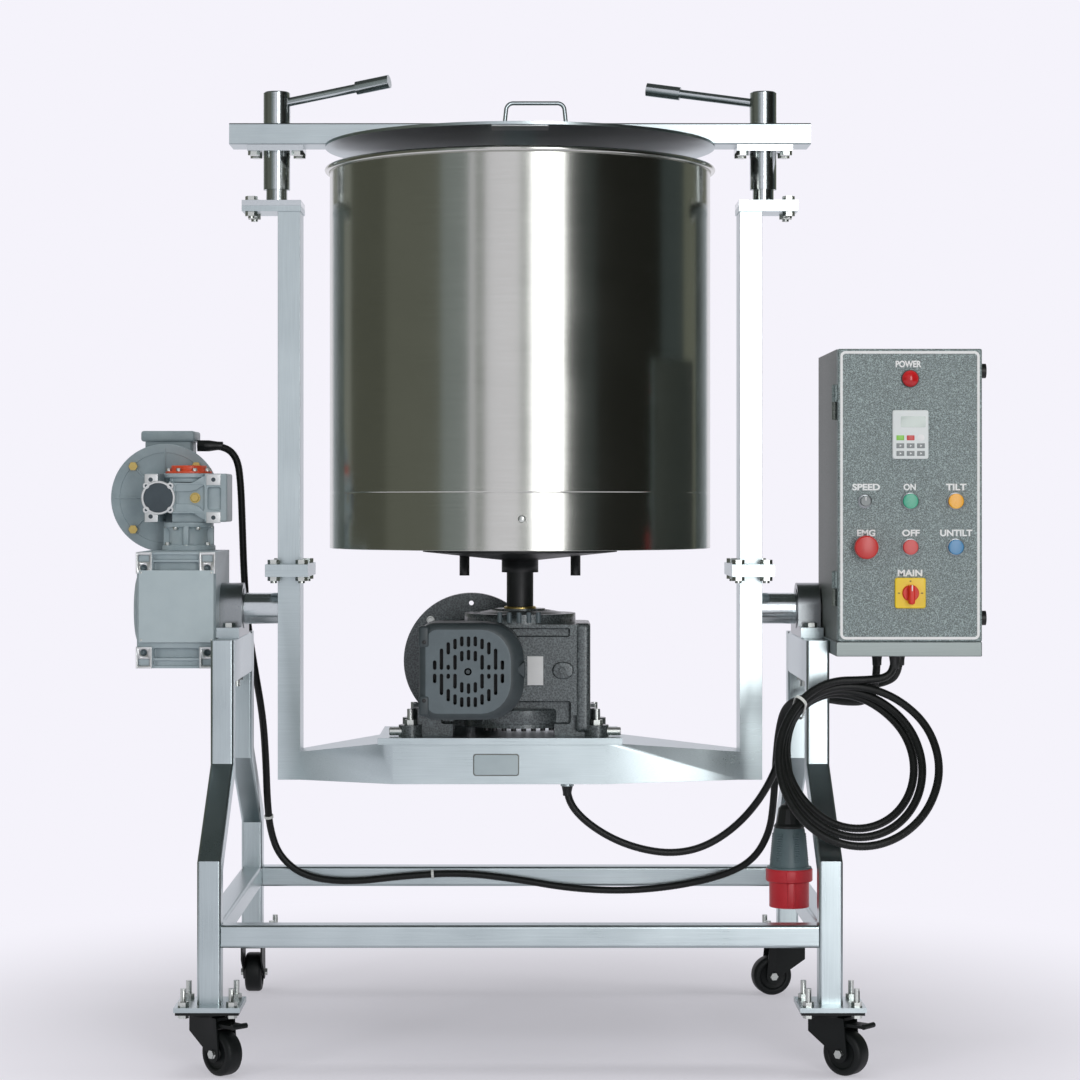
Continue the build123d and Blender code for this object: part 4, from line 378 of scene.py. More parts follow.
def sprayed_paint(name, tone, worn, rough=0.4, peel_mm=0.02, metallic=0.0):
    """Sprayed enamel: orange peel about 2 mm across, with soft patches of handling wear."""
    material, tree, shader = finish(name, Metallic=metallic, Roughness=rough)
    where = spread(tree)
    patch = between(tree, noise(tree, where, 22.0, 5.0, 0.6), 0.42, 0.75)
    painted(tree, shader, patch, (tone, worn), (rough, rough + 0.14))
    bumped(tree, shader, noise(tree, where, 500.0, 2.0), peel_mm)
    return material


HAMMER_GREY = hammer_paint("hammer_paint_dark_grey", "#34393a", "#6d7678", 3.2, 0.12, (0.28, 0.46), 0.3)
PANEL_COAT = hammer_paint("hammer_powder_coat", "#2a3637", "#acbdbd", 1.7, 0.05, (0.45, 0.6), 0.08)
# Darker copy of the door's coat: painted shade for the panel box's sides, which get less light.
PANEL_COAT_SHADED = hammer_paint("hammer_powder_coat_painted_shade", "#343a37", "#7e8680", 1.7, 0.05, (0.45, 0.6), 0.08)
GEAR_BLUE = sprayed_paint("enamel_light_blue_grey", "#a3b2b8", "#b3c0c5", 0.36)
MOTOR_BLUE = sprayed_paint("enamel_blue_grey_motor", "#8d9ca2", "#9eacb1", 0.4)
COWL_GREY = sprayed_paint("satin_enamel_dark_grey", "#363f42", "#424b4e", 0.42)
COWL_FACE = sprayed_paint("satin_enamel_slate_grey", "#5a666b", "#667277", 0.42)
COVER_SLATE = sprayed_paint("enamel_slate_blue", "#3c474e", "#47535a", 0.45)
CAST_BLACK = sprayed_paint("cast_iron_painted_black", "#17191a", "#26292a", 0.45, 0.06)
CAST_GREY = sprayed_paint("cast_iron_painted_grey", "#6e7270", "#80847f", 0.42, 0.06, 0.3)
ORANGE_CAP = sprayed_paint("enamel_orange_red", "#d8502f", "#e0664a", 0.35)
MACHINED = sprayed_paint("machined_aluminium_face", "#d5d8d8", "#e4e6e6", 0.3, 0.006, 0.6)

# %% [markdown]
# Plastics: switch caps are glossy ABS, the cable sleeve and casters are matt nylon. Their colours barely
# vary, so a faint mottle and a little texture keep them from looking flat. The stones are dark granite.

# %% Plastics and stone


def moulded(name, tone, shade, rough=0.35, grain_mm=0.008, grain_size=0.8, **sockets):
    """Moulded plastic: faint mottle in colour and a fine spark-eroded texture."""
    material, tree, shader = finish(name, Roughness=rough, **sockets)
    where = spread(tree)
    painted(tree, shader, noise(tree, where, 40.0, 3.0), (tone, shade), (rough - 0.05, rough + 0.08))
    bumped(tree, shader, noise(tree, where, 1000 / grain_size, 2.0), grain_mm)
    return material


CABLE_BLACK = moulded("nylon_sleeve_black", "#101211", "#191c1b", 0.42, Specular_IOR_Level=0.4)
PLASTIC_BLACK = moulded("abs_black", "#111313", "#1c1f1f", 0.4, Specular_IOR_Level=0.4)
CASTER_BLACK = moulded("nylon_caster_black", "#0c0f0f", "#161a1a", 0.48, 0.02, 1.5, Specular_IOR_Level=0.25)
PLUG_RED = moulded("polyamide_red", "#b51d28", "#c92f39", 0.38, 0.02, 1.2)
PLUG_GREY = moulded("polyamide_blue_grey", "#4c5d61", "#5b6c70", 0.42, 0.02, 1.2)
CAP_GREEN = moulded("abs_green", "#1f9a78", "#2fab88", 0.25)
KEY_LIME = moulded("abs_lime", "#7cc23a", "#8cd04a", 0.3)
CAP_YELLOW = moulded("abs_amber", "#eda303", "#f5b417", 0.25)
CAP_BLUE = moulded("abs_blue", "#2f79ab", "#3d88b8", 0.25)
CAP_RED = moulded("abs_red", "#c02a28", "#cf3a36", 0.28)
SWITCH_RED = moulded("abs_signal_red", "#d01c0c", "#dd2c18", 0.4)
CAP_GREY = moulded("abs_grey", "#7c8384", "#8b9293", 0.35)
PLATE_YELLOW = moulded("abs_signal_yellow", "#f0cb05", "#f5d522", 0.35)
KEYPAD_PALE = moulded("abs_pale_grey", "#dde4e4", "#e9eeee", 0.4)
LCD_GREEN = moulded("lcd_grey_green", "#b4c2bc", "#c2cfc9", 0.15)
TIE_WHITE = moulded("nylon_natural_white", "#d9dcd8", "#e6e8e5", 0.4)
LETTER_WHITE = moulded("print_ink_white", "#eef0f0", "#f6f7f7", 0.5)
LABEL_BARE = moulded("aluminium_label_blank", "#b3c2c7", "#bfcdd1", 0.32, 0.004, 0.5)
LAMP_RED = moulded("polycarbonate_lamp_red", "#b8141a", "#d02a2e", 0.12)

GRANITE, tree, shader = finish("granite_honed_dark", Roughness=0.45)
where = spread(tree)
fleck = noise(tree, where, 140.0, 6.0)
level = between(tree, combined(tree, "MULTIPLY", cells(tree, where, 260.0), fleck), 0.05, 0.4)
painted(tree, shader, level, ("#2d2e30", "#8b8c8e"))
bumped(tree, shader, fleck, 0.05)
print("materials", len(bpy.data.materials))

# %% [markdown]
# New surfaces are grids of points worked out as whole arrays. A turned part is a profile carried round
# an axis, a rounded block is a small ball whose eighths are pulled apart to the block's corners, and a
# tube is a ring carried along a line. Shapes stay as a pair of points and faces until they are placed.

# %% Surface helpers


def skin(rows, closed=True):
    """Quads between neighbouring rings of points, with the first and last ring filled where asked."""
    count, around = rows.shape[:2]
    row, column = np.meshgrid(np.arange(count - 1), np.arange(around), indexing="ij")
    after = (column + 1) % around
    corners = [row * around + column, row * around + after]
    corners += [(row + 1) * around + after, (row + 1) * around + column]
    faces = np.stack(corners, axis=-1).reshape(-1, 4).tolist()
    if closed:
        last = (count - 1) * around
        faces += [list(range(around))[::-1], list(range(last, last + around))]
    return rows.reshape(-1, 3), faces


def lathe(profile, sides=48):
    """Turned surface about Z: radius and height of the profile, carried round a full turn."""
    profile = np.asarray(profile, float)
    turn = np.linspace(0, tau, sides, endpoint=False)
    rows = profile[:, None, :1] * np.stack([np.cos(turn), np.sin(turn), np.zeros(sides)], axis=1)
    rows[..., 2] = profile[:, 1:]
    return skin(rows, closed=False)


def rounded_block(x, y, z, radius, steps=3):
    """Box between limits with rounded edges: point = corner centre + radius times a ball's direction."""
    quarter = np.linspace(0, pi / 2, steps + 1)
    around = (np.arange(4)[:, None] * pi / 2 + quarter).ravel()
    up = np.concatenate([quarter - pi / 2, quarter])
    side_x = np.repeat([1, -1, -1, 1], steps + 1)
    side_y = np.repeat([1, 1, -1, -1], steps + 1)
    side_z = np.repeat([-1, 1], steps + 1)
    limits = np.array([x, y, z], float)
    middle, half = limits.mean(axis=1), (limits[:, 1] - limits[:, 0]) / 2 - radius
    flat = np.cos(up)[:, None] * radius
    rows = np.empty((len(up), len(around), 3))
    rows[..., 0] = middle[0] + side_x * half[0] + flat * np.cos(around)
    rows[..., 1] = middle[1] + side_y * half[1] + flat * np.sin(around)
    rows[..., 2] = (middle[2] + side_z * half[2] + radius * np.sin(up))[:, None]
    points, faces = skin(rows, closed=False)
    corner = np.arange(4) * (steps + 1)
    return points, faces + [corner[::-1].tolist(), (corner + len(points) - len(around)).tolist()]


def arc(centre, radius, start, end, steps):
    """Points of a circular arc in a profile, angles in degrees."""
    angle = np.radians(np.linspace(start, end, steps))
    return np.stack([centre[0] + radius * np.cos(angle), centre[1] + radius * np.sin(angle)], axis=1)


def corner_outline(x, z, radii, steps=8):
    """Outline between limits with one radius, or one for each corner from the lower right, anticlockwise."""
    a, b, c, d = radii if np.ndim(radii) else (radii,) * 4
    centres = [(x[1] - a, z[0] + a), (x[1] - b, z[1] - b), (x[0] + c, z[1] - c), (x[0] + d, z[0] + d)]
    turns = zip(centres, (a, b, c, d), (-90, 0, 90, 180))
    return np.concatenate([arc(middle, radius, start, start + 90, steps) for middle, radius, start in turns])


def pressed_cap(outline, back, front, turn_in, steps=5):
    """Closed cap along Y: the outline carried forward, then drawn in on a quarter round."""
    middle = (outline.max(axis=0) + outline.min(axis=0)) / 2
    half = (outline.max(axis=0) - outline.min(axis=0)) / 2
    bend = np.linspace(0, pi / 2, steps + 1)
    shrink = np.concatenate([[0.0], turn_in * (1 - np.cos(bend))])
    depth = np.concatenate([[back], front + turn_in - turn_in * np.sin(bend)])
    flat = middle + (outline - middle)[None] * (1 - shrink[:, None] / half)[:, None]
    deep = np.broadcast_to(depth[:, None], flat.shape[:2])
    return skin(np.stack([flat[..., 0], deep, flat[..., 1]], axis=-1))


def ribbed_barrel(ribs, outer, root, ends, share=0.34):
    """Ribbed casting along Z: the radius steps between root and tip with the angle."""
    step = tau / ribs
    edges = np.array([0.0, share * 0.2, share * 0.8, share, share + 0.03, 0.97]) * step
    angle = (np.arange(ribs)[:, None] * step + edges).ravel()
    radius = np.tile([root, outer, outer, root, root, root], ribs)
    ring = np.stack([radius * np.cos(angle), radius * np.sin(angle)], axis=1)
    return skin(np.stack([np.c_[ring, np.full(len(ring), end)] for end in ends]))


def facing(shape, centre=(0, 0, 0)):
    """Shape with its own Z laid towards the camera, moved to a place."""
    return shape[0][:, [0, 2, 1]] * (1, -1, 1) + np.asarray(centre, float), shape[1]


def sideways(shape, centre=(0, 0, 0)):
    """Shape with its own Z laid along X, moved to a place."""
    return shape[0][:, [2, 0, 1]] + np.asarray(centre, float), shape[1]


def flipped(shape):
    """Shape mirrored in height."""
    return shape[0] * (1, 1, -1), [face[::-1] for face in shape[1]]


def spun(shape, degrees, centre=(0, 0, 0)):
    """Shape turned about Z, then moved to a place."""
    c, s = np.cos(np.radians(degrees)), np.sin(np.radians(degrees))
    return shape[0] @ np.array([[c, s, 0], [-s, c, 0], [0, 0, 1]]) + np.asarray(centre, float), shape[1]


def copies(shape, places):
    """The same shape at many places, as one."""
    points, faces = shape
    moved = (points[None] + np.asarray(places, float)[:, None]).reshape(-1, 3)
    starts = range(0, len(moved), len(points))
    return moved, [[index + start for index in face] for start in starts for face in faces]


def joined(*shapes):
    """Several shapes as one."""
    points = np.concatenate([shape[0] for shape in shapes])
    starts = np.cumsum([0] + [len(shape[0]) for shape in shapes[:-1]])
    faces = [[index + start for index in face] for start, shape in zip(starts, shapes) for face in shape[1]]
    return points, faces


def circle(radius, degrees, height=0.0):
    """Places on a circle about Z, at angles in degrees."""
    turn = np.radians(degrees)
    return np.stack([radius * np.cos(turn), radius * np.sin(turn), np.full(len(turn), height)], axis=1)


def ring_of(shape, count, radius, start=0.0):
    """Even copies of a shape round Z at one radius, not turned."""
    return copies(shape, circle(radius, start + np.arange(count) * 360 / count))


def hex_bolt(across, height, washer=0.0):
    """Hexagon head with a chamfered crown, on a washer where one is asked for."""
    head = lathe([(0, 0), (across, 0), (across, height * 0.8), (across * 0.9, height), (0, height)], 6)
    if not washer:
        return head
    disc = lathe([(0, 0), (across * 1.2, 0), (across * 1.2, washer), (0, washer)], 24)
    return joined(copies(head, [(0, 0, washer)]), disc)


def placed(name, shape, material=None, body=None, node=None, crease=35.0):
    """Mesh object of a shape: doubles merged, smooth but for sharp edges, riding on a body."""
    points, faces = shape
    mesh = bpy.data.meshes.new(name)
    mesh.from_pydata(metres(points).tolist(), [], faces)
    form = bmesh.new()
    form.from_mesh(mesh)
    bmesh.ops.remove_doubles(form, verts=form.verts, dist=2e-6)
    bmesh.ops.dissolve_degenerate(form, edges=form.edges, dist=1e-6)
    form.to_mesh(mesh)
    form.free()
    mesh.polygons.foreach_set("use_smooth", np.ones(len(mesh.polygons), bool))
    mesh.set_sharp_from_angle(angle=radians(crease))
    if material:
        mesh.materials.append(material)
    thing = added(name, mesh)
    if body:
        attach(thing, body)
    if node:
        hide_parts(node)
    return thing


def curve_mesh(data):
    """Points and faces of a curve or a word, whose data is then removed."""
    holder = added("curve", data)
    bpy.context.view_layer.update()
    mesh = bpy.data.meshes.new_from_object(holder)
    flat = np.empty(len(mesh.vertices) * 3)
    mesh.vertices.foreach_get("co", flat)
    faces = [list(polygon.vertices) for polygon in mesh.polygons]
    bpy.data.objects.remove(holder)
    bpy.data.curves.remove(data)
    bpy.data.meshes.remove(mesh)
    return flat.reshape(-1, 3), faces


# %% [markdown]
# One corrugated lead lies along the frame, one hangs in a bow, and a third is wound into a coil and ends
# in a plug. Each follows one smooth spline close to the line of its solid. Its sleeve is real geometry:
# rings that step between a crest and a groove every few millimetres, as flexible conduit does.

# %% Leads
LEAD_R = 7.0
RIB_PITCH = 2.6
RIB_DEPTH = 0.5
GLAND_BOTTOM = 692.0
TILT_ROUTE = [
    (-585, 227.5, 1057), (-556, 227.5, 1057), (-532, 230, 1034), (-526, 232, 985), (-523, 232, 905),
    (-520, 231, 815), (-513, 230, 720), (-499, 235, 630), (-486, 250, 545), (-483, 280, 460),
    (-484, 318, 380), (-480, 341, 318), (-462, 346, 268), (-415, 346.4, 230), (-330, 345, 219),
    (-220, 346, 232), (-112, 346.4, 238), (-10, 345, 226), (95, 343, 208), (200, 341, 203),
    (300, 342, 212), (390, 342, 232), (448, 338, 262), (478, 318, 318), (483, 284, 385), (482, 240, 455),
    (483, 188, 525), (490, 134, 574), (516, 78, 594), (550, 18, 596), (584, -46, 594), (612, -108, 600),
    (624, -150, 632), (624, -150, GLAND_BOTTOM),
]
DRIVE_ROUTE = [
    (85, 0, 440), (85, 0, 416), (112, 1, 380), (162, 2, 346), (218, 4, 325), (276, 6, 317), (332, 8, 328),
    (386, 9, 362), (430, 8, 410), (462, 4, 468), (478, 0, 528), (500, -10, 582), (544, -30, 616),
    (594, -62, 625), (638, -104, 630), (664, -150, 650), (664, -150, GLAND_BOTTOM),
]
COIL_TURNS = 3.25
COIL_TOP_TURN = 0.09
PLUG_AT = (461.0, -250.0)
PLUG_TOP = 435.0


def coil_points(turn):
    """Hanging coil: turns shrink and step to the rear, gather at the tie, and one loop bulges out."""
    angle = radians(75) + tau * turn
    gather = np.maximum(0, np.cos(angle - radians(135))) ** 2
    slack = 16 * np.exp(-((turn - 0.82) / 0.13) ** 2) + 10 * np.exp(-(turn / 0.14) ** 2)
    reach = (136 - 12 * turn * (1 - 0.7 * gather) + slack) * 1.012
    rise = reach * np.sin(angle)
    return np.stack([567 + reach * np.cos(angle), -344 + 0.6 * rise + 17.6 * turn, 509 + rise], axis=1)


def mains_route():
    """Control points from the panel's gland, round the coil, to the plug."""
    steps = np.linspace(COIL_TOP_TURN, COIL_TURNS, 42)
    down = [(642, -248, GLAND_BOTTOM), (642, -248, 672), (632, -249, 652), (600, -254, 647)]
    end = [(463, -252, 470), (*PLUG_AT, 455), (*PLUG_AT, PLUG_TOP)]
    return np.concatenate([down, coil_points(steps), end])


def spline_line(route):
    """Points along the smooth spline that has the route as its control points."""
    data = bpy.data.curves.new("route", "CURVE")
    data.dimensions = "3D"
    data.resolution_u = 10
    spline = data.splines.new("NURBS")
    places = metres(route)
    spline.points.add(len(places) - 1)
    spline.points.foreach_set("co", np.c_[places, np.ones(len(places))].ravel())
    spline.order_u = 3
    spline.use_endpoint_u = True
    return (curve_mesh(data)[0] - AXIS) * 1000


def unit(vectors):
    """Vectors scaled to a length of one."""
    return vectors / np.linalg.norm(vectors, axis=-1, keepdims=True)


def ribbed_tube(line, sides, lean):
    """Sleeve along a line: rings of crest and groove radius, square to the line."""
    along = np.concatenate([[0], np.cumsum(np.linalg.norm(np.diff(line, axis=0), axis=1))])
    count = int(along[-1] / RIB_PITCH)
    step = along[-1] / count
    spots = (np.arange(count)[:, None] * step + np.array([0.0, 0.1, 0.5, 0.6]) * step).ravel()
    spots = np.append(spots, along[-1])
    groove = LEAD_R - RIB_DEPTH
    reach = np.append(np.tile([groove, LEAD_R, LEAD_R, groove], count), groove)
    middle = np.stack([np.interp(spots, along, line[:, axis]) for axis in range(3)], axis=1)
    slope = [np.interp(spots, along, np.gradient(line[:, axis], along)) for axis in range(3)]
    heading = unit(np.stack(slope, axis=1))
    across = unit(np.cross(heading, lean))
    over = np.cross(heading, across)
    turn = np.linspace(0, tau, sides, endpoint=False)
    ring = np.cos(turn)[None, :, None] * across[:, None] + np.sin(turn)[None, :, None] * over[:, None]
    return skin(middle[:, None] + reach[:, None, None] * ring)


def lead(name, node, route, lean, body):
    """Corrugated lead in the place of its solid."""
    line = spline_line(route)
    sleeve = placed(name, ribbed_tube(line, 12, lean), CABLE_BLACK, body, node, 60.0)
    length = np.linalg.norm(np.diff(line, axis=0), axis=1).sum() / 1000
    print(name, "length", round(length, 3))
    return sleeve, metres(line), length


tilt_sleeve, tilt_line, tilt_length = lead(
    "tilt_lead_sleeve", "tilt_motor_lead", TILT_ROUTE, (0.28, 0.93, 0.23), "base")
drive_sleeve, drive_line, drive_length = lead(
    "drive_lead_sleeve", "main_motor_lead", DRIVE_ROUTE, (0.1, 0.98, 0.15), None)
mains_sleeve, mains_line, mains_length = lead(
    "mains_lead_sleeve", "mains_lead", mains_route(), (0.0, -0.857, 0.514), "base")
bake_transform(drive_sleeve)

# %% [markdown]
# Most pieces keep the shape of their solid. A real edge is never sharp, so each is a copy of the solid
# with its facets merged and a narrow bevel along its edges, which catches the light as a worn edge does.

# %% Solids with softened edges
BODY_OF = {node: body for body, nodes in frame["record"]["behaviour"]["bodies"].items() for node in nodes}
LONG_EDGE = 0.25


def carved(thing, shape):
    """Cut a closed shape out of a piece, and leave the result as its plain mesh."""
    cutter = placed("cutter", shape)
    cut = thing.modifiers.new("cut", "BOOLEAN")
    cut.object = cutter
    cut.solver = "EXACT"
    bpy.context.view_layer.update()
    mesh = bpy.data.meshes.new_from_object(thing.evaluated_get(bpy.context.evaluated_depsgraph_get()))
    thing.modifiers.remove(cut)
    thing.data = mesh
    bpy.data.objects.remove(cutter)


def second_finish(thing, material, test):
    """Give a second material to the faces whose middles pass a test, in millimetres."""
    mesh = thing.data
    mesh.materials.append(material)
    middles = np.empty(len(mesh.polygons) * 3)
    mesh.polygons.foreach_get("center", middles)
    chosen = test(*((middles.reshape(-1, 3) - AXIS) * 1000).T)
    mesh.polygons.foreach_set("material_index", chosen.astype(np.int32))


def flat_faces(thing):
    """Vertex normals weighted by face area, so that large flat faces stay flat beside rounded edges."""
    weigh = thing.modifiers.new("flat", "WEIGHTED_NORMAL")
    weigh.mode = "FACE_AREA"
    weigh.weight = 100
    weigh.keep_sharp = True


def rounded_edges(thing, width, segments=2, long_share=1.0):
    """Narrow bevel along a piece's sharp edges; long edges take a wider share of it."""
    mesh = thing.data
    mesh.set_sharp_from_angle(angle=radians(32))
    sharp = np.zeros(len(mesh.edges), bool)
    mesh.attributes["sharp_edge"].data.foreach_get("value", sharp)
    ends = np.empty(len(mesh.edges) * 2, np.int32)
    mesh.edges.foreach_get("vertices", ends)
    points = np.empty(len(mesh.vertices) * 3)
    mesh.vertices.foreach_get("co", points)
    run = np.diff(points.reshape(-1, 3)[ends.reshape(-1, 2)], axis=1)[:, 0]
    share = np.where(np.linalg.norm(run, axis=1) > LONG_EDGE, 1.0, 1 / long_share)
    weight = mesh.attributes.new("bevel_weight_edge", "FLOAT", "EDGE")
    weight.data.foreach_set("value", np.where(sharp, share, 0.0))
    mesh.attributes.remove(mesh.attributes["sharp_edge"])
    bevel = thing.modifiers.new("edge", "BEVEL")
    bevel.width = width * long_share / 1000
    bevel.segments = segments
    bevel.limit_method = "WEIGHT"
    bevel.use_clamp_overlap = True
    flat_faces(thing)


def softened(node, material, width=1.2, segments=2, long_share=1.0, cuts=None):
    """Copy of a node's solid with bevelled edges, after any cuts."""
    mesh = frame["nodes"][node].data.copy()
    form = bmesh.new()
    form.from_mesh(mesh)
    bmesh.ops.remove_doubles(form, verts=form.verts, dist=1e-5)
    bmesh.ops.dissolve_limit(form, angle_limit=radians(0.6), verts=form.verts, edges=form.edges)
    form.to_mesh(mesh)
    form.free()
    mesh.polygons.foreach_set("use_smooth", np.ones(len(mesh.polygons), bool))
    mesh.materials.clear()
    mesh.materials.append(material)
    thing = added(node + "_finished", mesh)
    if cuts:
        carved(thing, cuts)
    rounded_edges(thing, width, segments, long_share)
    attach(thing, BODY_OF[node])
    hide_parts(node)
    return thing


FINISHES = {
    "cross_rails": (STEEL_ACROSS, 0.6, 4, 9.0),
    "foot_plates": (STEEL_ACROSS, 1.0),
    "panel_bracket": (STEEL_DULL, 1.5),
    "yoke_cradle": (STEEL_ACROSS, 1.2, 3, 2.5),
    "yoke_posts": (STEEL_UPRIGHT, 1.2, 4, 4.5),
    "yoke_bolts": (ZINC, 0.7),
    "trunnions": (STEEL_POLISHED, 0.8),
    "top_crossbar": (STEEL_ACROSS, 2.5, 4, 2.2),
    "clamp_posts": (STEEL_POLISHED, 1.0),
    "clamp_lever_left": (STEEL_POLISHED, 1.2),
    "clamp_lever_right": (STEEL_POLISHED, 1.2),
    "lid_rear": (STEEL_ACROSS, 0.6),
    "lid_flap": (STEEL_ACROSS, 0.6),
    "pillow_blocks": (GROUND_STEEL, 3.0),
    "drum_hub": (CAST_BLACK, 2.0),
    # The panel box takes the darker copy of the door's coat, which is painted shade.
    "panel_enclosure": (PANEL_COAT_SHADED, 1.2),
    "base_stone": (GRANITE, 1.0),
    "roller_left": (GRANITE, 1.5),
    "roller_right": (GRANITE, 1.5),
    "roller_carrier": (STEEL_UPRIGHT, 1.5),
}
CASTERS = ("front_left", "front_right", "rear_left", "rear_right")
FINISHES |= {"caster_fork_" + corner: (CASTER_BLACK, 1.0) for corner in CASTERS}
FINISHES |= {"brake_pedal_" + corner: (CASTER_BLACK, 1.0) for corner in CASTERS[:2]}
finished = {node: softened(node, *choice) for node, choice in FINISHES.items()}

PLAIN = {
    "tilt_worm": GROUND_STEEL,
    "main_worm": CAST_BLACK,
    "worm_wheel": BRONZE,
    "drive_shaft": CAST_BLACK,
    "panel_chassis": KEYPAD_PALE,
}
for node, material in PLAIN.items():
    for place in frame["nodes"][node].material_slots:
        place.material = material
print("softened", len(finished), "plain", len(PLAIN))

# %% [markdown]
# The drum is spun sheet: one wall, a floor let in above a short skirt, and a rim rolled over a wire.
# Its profile is turned as one surface. A weld line shows low on the wall, so the profile dips there.

# %% Drum
OUTER = 342.0
INNER = 339.0
SKIRT_Z = 869.0
FLOOR_LOW, FLOOR_HIGH = 884.0, 888.0
RIM_Z = 1546.0
RIM_R = 346.0
BEAD_R = 5.0
SEAM_Z = 968.0
wall = [(0, FLOOR_LOW), (INNER - 1.0, FLOOR_LOW), (INNER - 0.5, FLOOR_LOW), (INNER, FLOOR_LOW - 0.5)]
wall += [(INNER, SKIRT_Z + 0.6), (INNER + 0.6, SKIRT_Z), (OUTER - 0.6, SKIRT_Z)]
wall += [(OUTER, SKIRT_Z + 0.6), (OUTER, SKIRT_Z + 1.6), (OUTER, SEAM_Z - 2.2), (OUTER, SEAM_Z - 1.2)]
wall += [(OUTER - 0.5, SEAM_Z), (OUTER, SEAM_Z + 1.2), (OUTER, SEAM_Z + 2.2)]
wall += [(OUTER, RIM_Z - 6.0), (OUTER, RIM_Z - 4.0)]
bead = arc((RIM_R, RIM_Z), BEAD_R, -142, 215, 24)
inside = [(INNER, RIM_Z - 4.0), (INNER, RIM_Z - 6.0), (INNER, FLOOR_HIGH + 6.0), (INNER, FLOOR_HIGH + 4.0)]
inside += [(INNER - 4.0, FLOOR_HIGH), (INNER - 6.0, FLOOR_HIGH), (0, FLOOR_HIGH)]
drum = lathe(np.concatenate([wall, bead, inside]), 240)
placed("drum_wall", drum, STEEL_DRUM, "drum", "drum_shell")
button_head = lathe([(0, 0), (6.5, 0), (6.5, 1.2), (5.2, 3.2), (2.6, 4.2), (0, 4.4)], 24)
placed("drum_drain_screw", facing(button_head, (3, 0.5 - OUTER, 923)), ZINC, "drum")

# %% [markdown]
# Motors are ribbed castings. The ribs are one outline, a circle that steps in and out with angle,
# carried along the axis, and turned rings make the flange and end shields. The main motor hangs behind
# its gearbox, and the flange has four holes, of which two are blanked and one holds a bush.

# %% Main motor
MAIN_AT = np.array([-90.0, 0.0, 658.0])
FLANGE_FRONT = 133.0
HOLE_RING = 106.5
barrel = ribbed_barrel(40, 88.0, 78.0, (-366.0, -172.0))
shield = lathe([(0, -182), (80, -182), (86, -178), (88, -174), (88, -165), (86, -162), (0, -162)], 64)
tail = [(0, -418), (76, -418), (86, -413), (91, -404), (91, -366), (90, -364), (80, -362), (0, -362)]
tail = lathe(tail, 72)
motor = facing(joined(barrel, shield, tail), MAIN_AT)
placed("main_motor_body", motor, COWL_GREY, "yoke", "main_motor")
flange = lathe([(0, -163), (123.5, -163), (125, -161.5), (125, -149), (124, -148.1), (0, -148.1)], 96)
flange = placed("main_motor_flange", facing(flange, MAIN_AT), COWL_GREY, "yoke")
through = ring_of(lathe([(0, -180), (7, -180), (7, -120), (0, -120)], 32), 4, HOLE_RING)
carved(flange, facing(through, MAIN_AT))
bolts = ring_of(hex_bolt(6.0, 6.0, 1.6), 4, HOLE_RING, 45.0)
placed("main_flange_bolts", facing(bolts, MAIN_AT + (0, FLANGE_FRONT, 0)), ZINC, "yoke")
blank = lathe([(0, -150), (7.1, -150), (7.1, -133.2), (0, -133.2)], 32)
bush = lathe([(4.4, -150), (7.1, -150), (7.1, -133.2), (4.4, -133.2), (4.4, -150)], 32)
fillers = joined(copies(blank, [(-HOLE_RING, 0, 0), (HOLE_RING, 0, 0)]), copies(bush, [(0, HOLE_RING, 0)]))
placed("main_flange_fillers", facing(fillers, MAIN_AT), HAMMER_GREY, "yoke")

# %% [markdown]
# The fan cowl is pressed sheet: a rounded square, rounder on its right, with slots in eleven columns
# about one screw. It is drawn as an outline with four corner radii, carried forward and turned in, and
# its face is narrowed from the right. Two tabs and an ear hold it.

# %% Fan cowl
COWL_BACK, COWL_FRONT = -100.2, -204.6
COWL_TURN = 14.0
COWL_WALL = 3.0
SLOT_PITCH = 11.7
SLOT_HALF = 2.9
# Half of one column's slots, as heights above the screw, for each column out from the middle.
SLOTS = [
    [(20, 38), (43, 61)],
    [(18, 36), (44, 61)],
    [(3.5, 29), (39, 57)],
    [(3.5, 12), (30, 51)],
    [(3.5, 40)],
    [(3.5, 19.5)],
]


def narrowed(shape, edge=-161.0, share=0.075):
    """The cowl drawn in towards an edge in X over the depth of its turned-in front."""
    points, faces = shape
    amount = share * np.clip((COWL_FRONT + COWL_TURN - points[:, 1]) / COWL_TURN, 0, 1)
    return points + np.outer((edge - points[:, 0]) * amount, (1, 0, 0)), faces


shell = corner_outline((-175, 7), (574, 742), (64, 64, 26, 26))
shell = narrowed(pressed_cap(shell, COWL_BACK, COWL_FRONT, COWL_TURN, 8))
cowl = placed("main_fan_cowl", shell, COWL_FACE, "yoke")
hollow = corner_outline((-172, 4), (577, 739), (61, 61, 23, 23))
carved(cowl, narrowed(pressed_cap(hollow, COWL_BACK - COWL_WALL, COWL_FRONT + COWL_WALL, COWL_TURN)))
slots = []
for column, spans in enumerate(SLOTS):
    for low, high in spans:
        for across in sorted({-column, column}):
            for z in ((MAIN_AT[2] - high, MAIN_AT[2] - low), (MAIN_AT[2] + low, MAIN_AT[2] + high)):
                x = MAIN_AT[0] + 1 + across * SLOT_PITCH
                slots.append(rounded_block((x - SLOT_HALF, x + SLOT_HALF), (-210, -195), z, 2.7))
carved(cowl, joined(*slots))
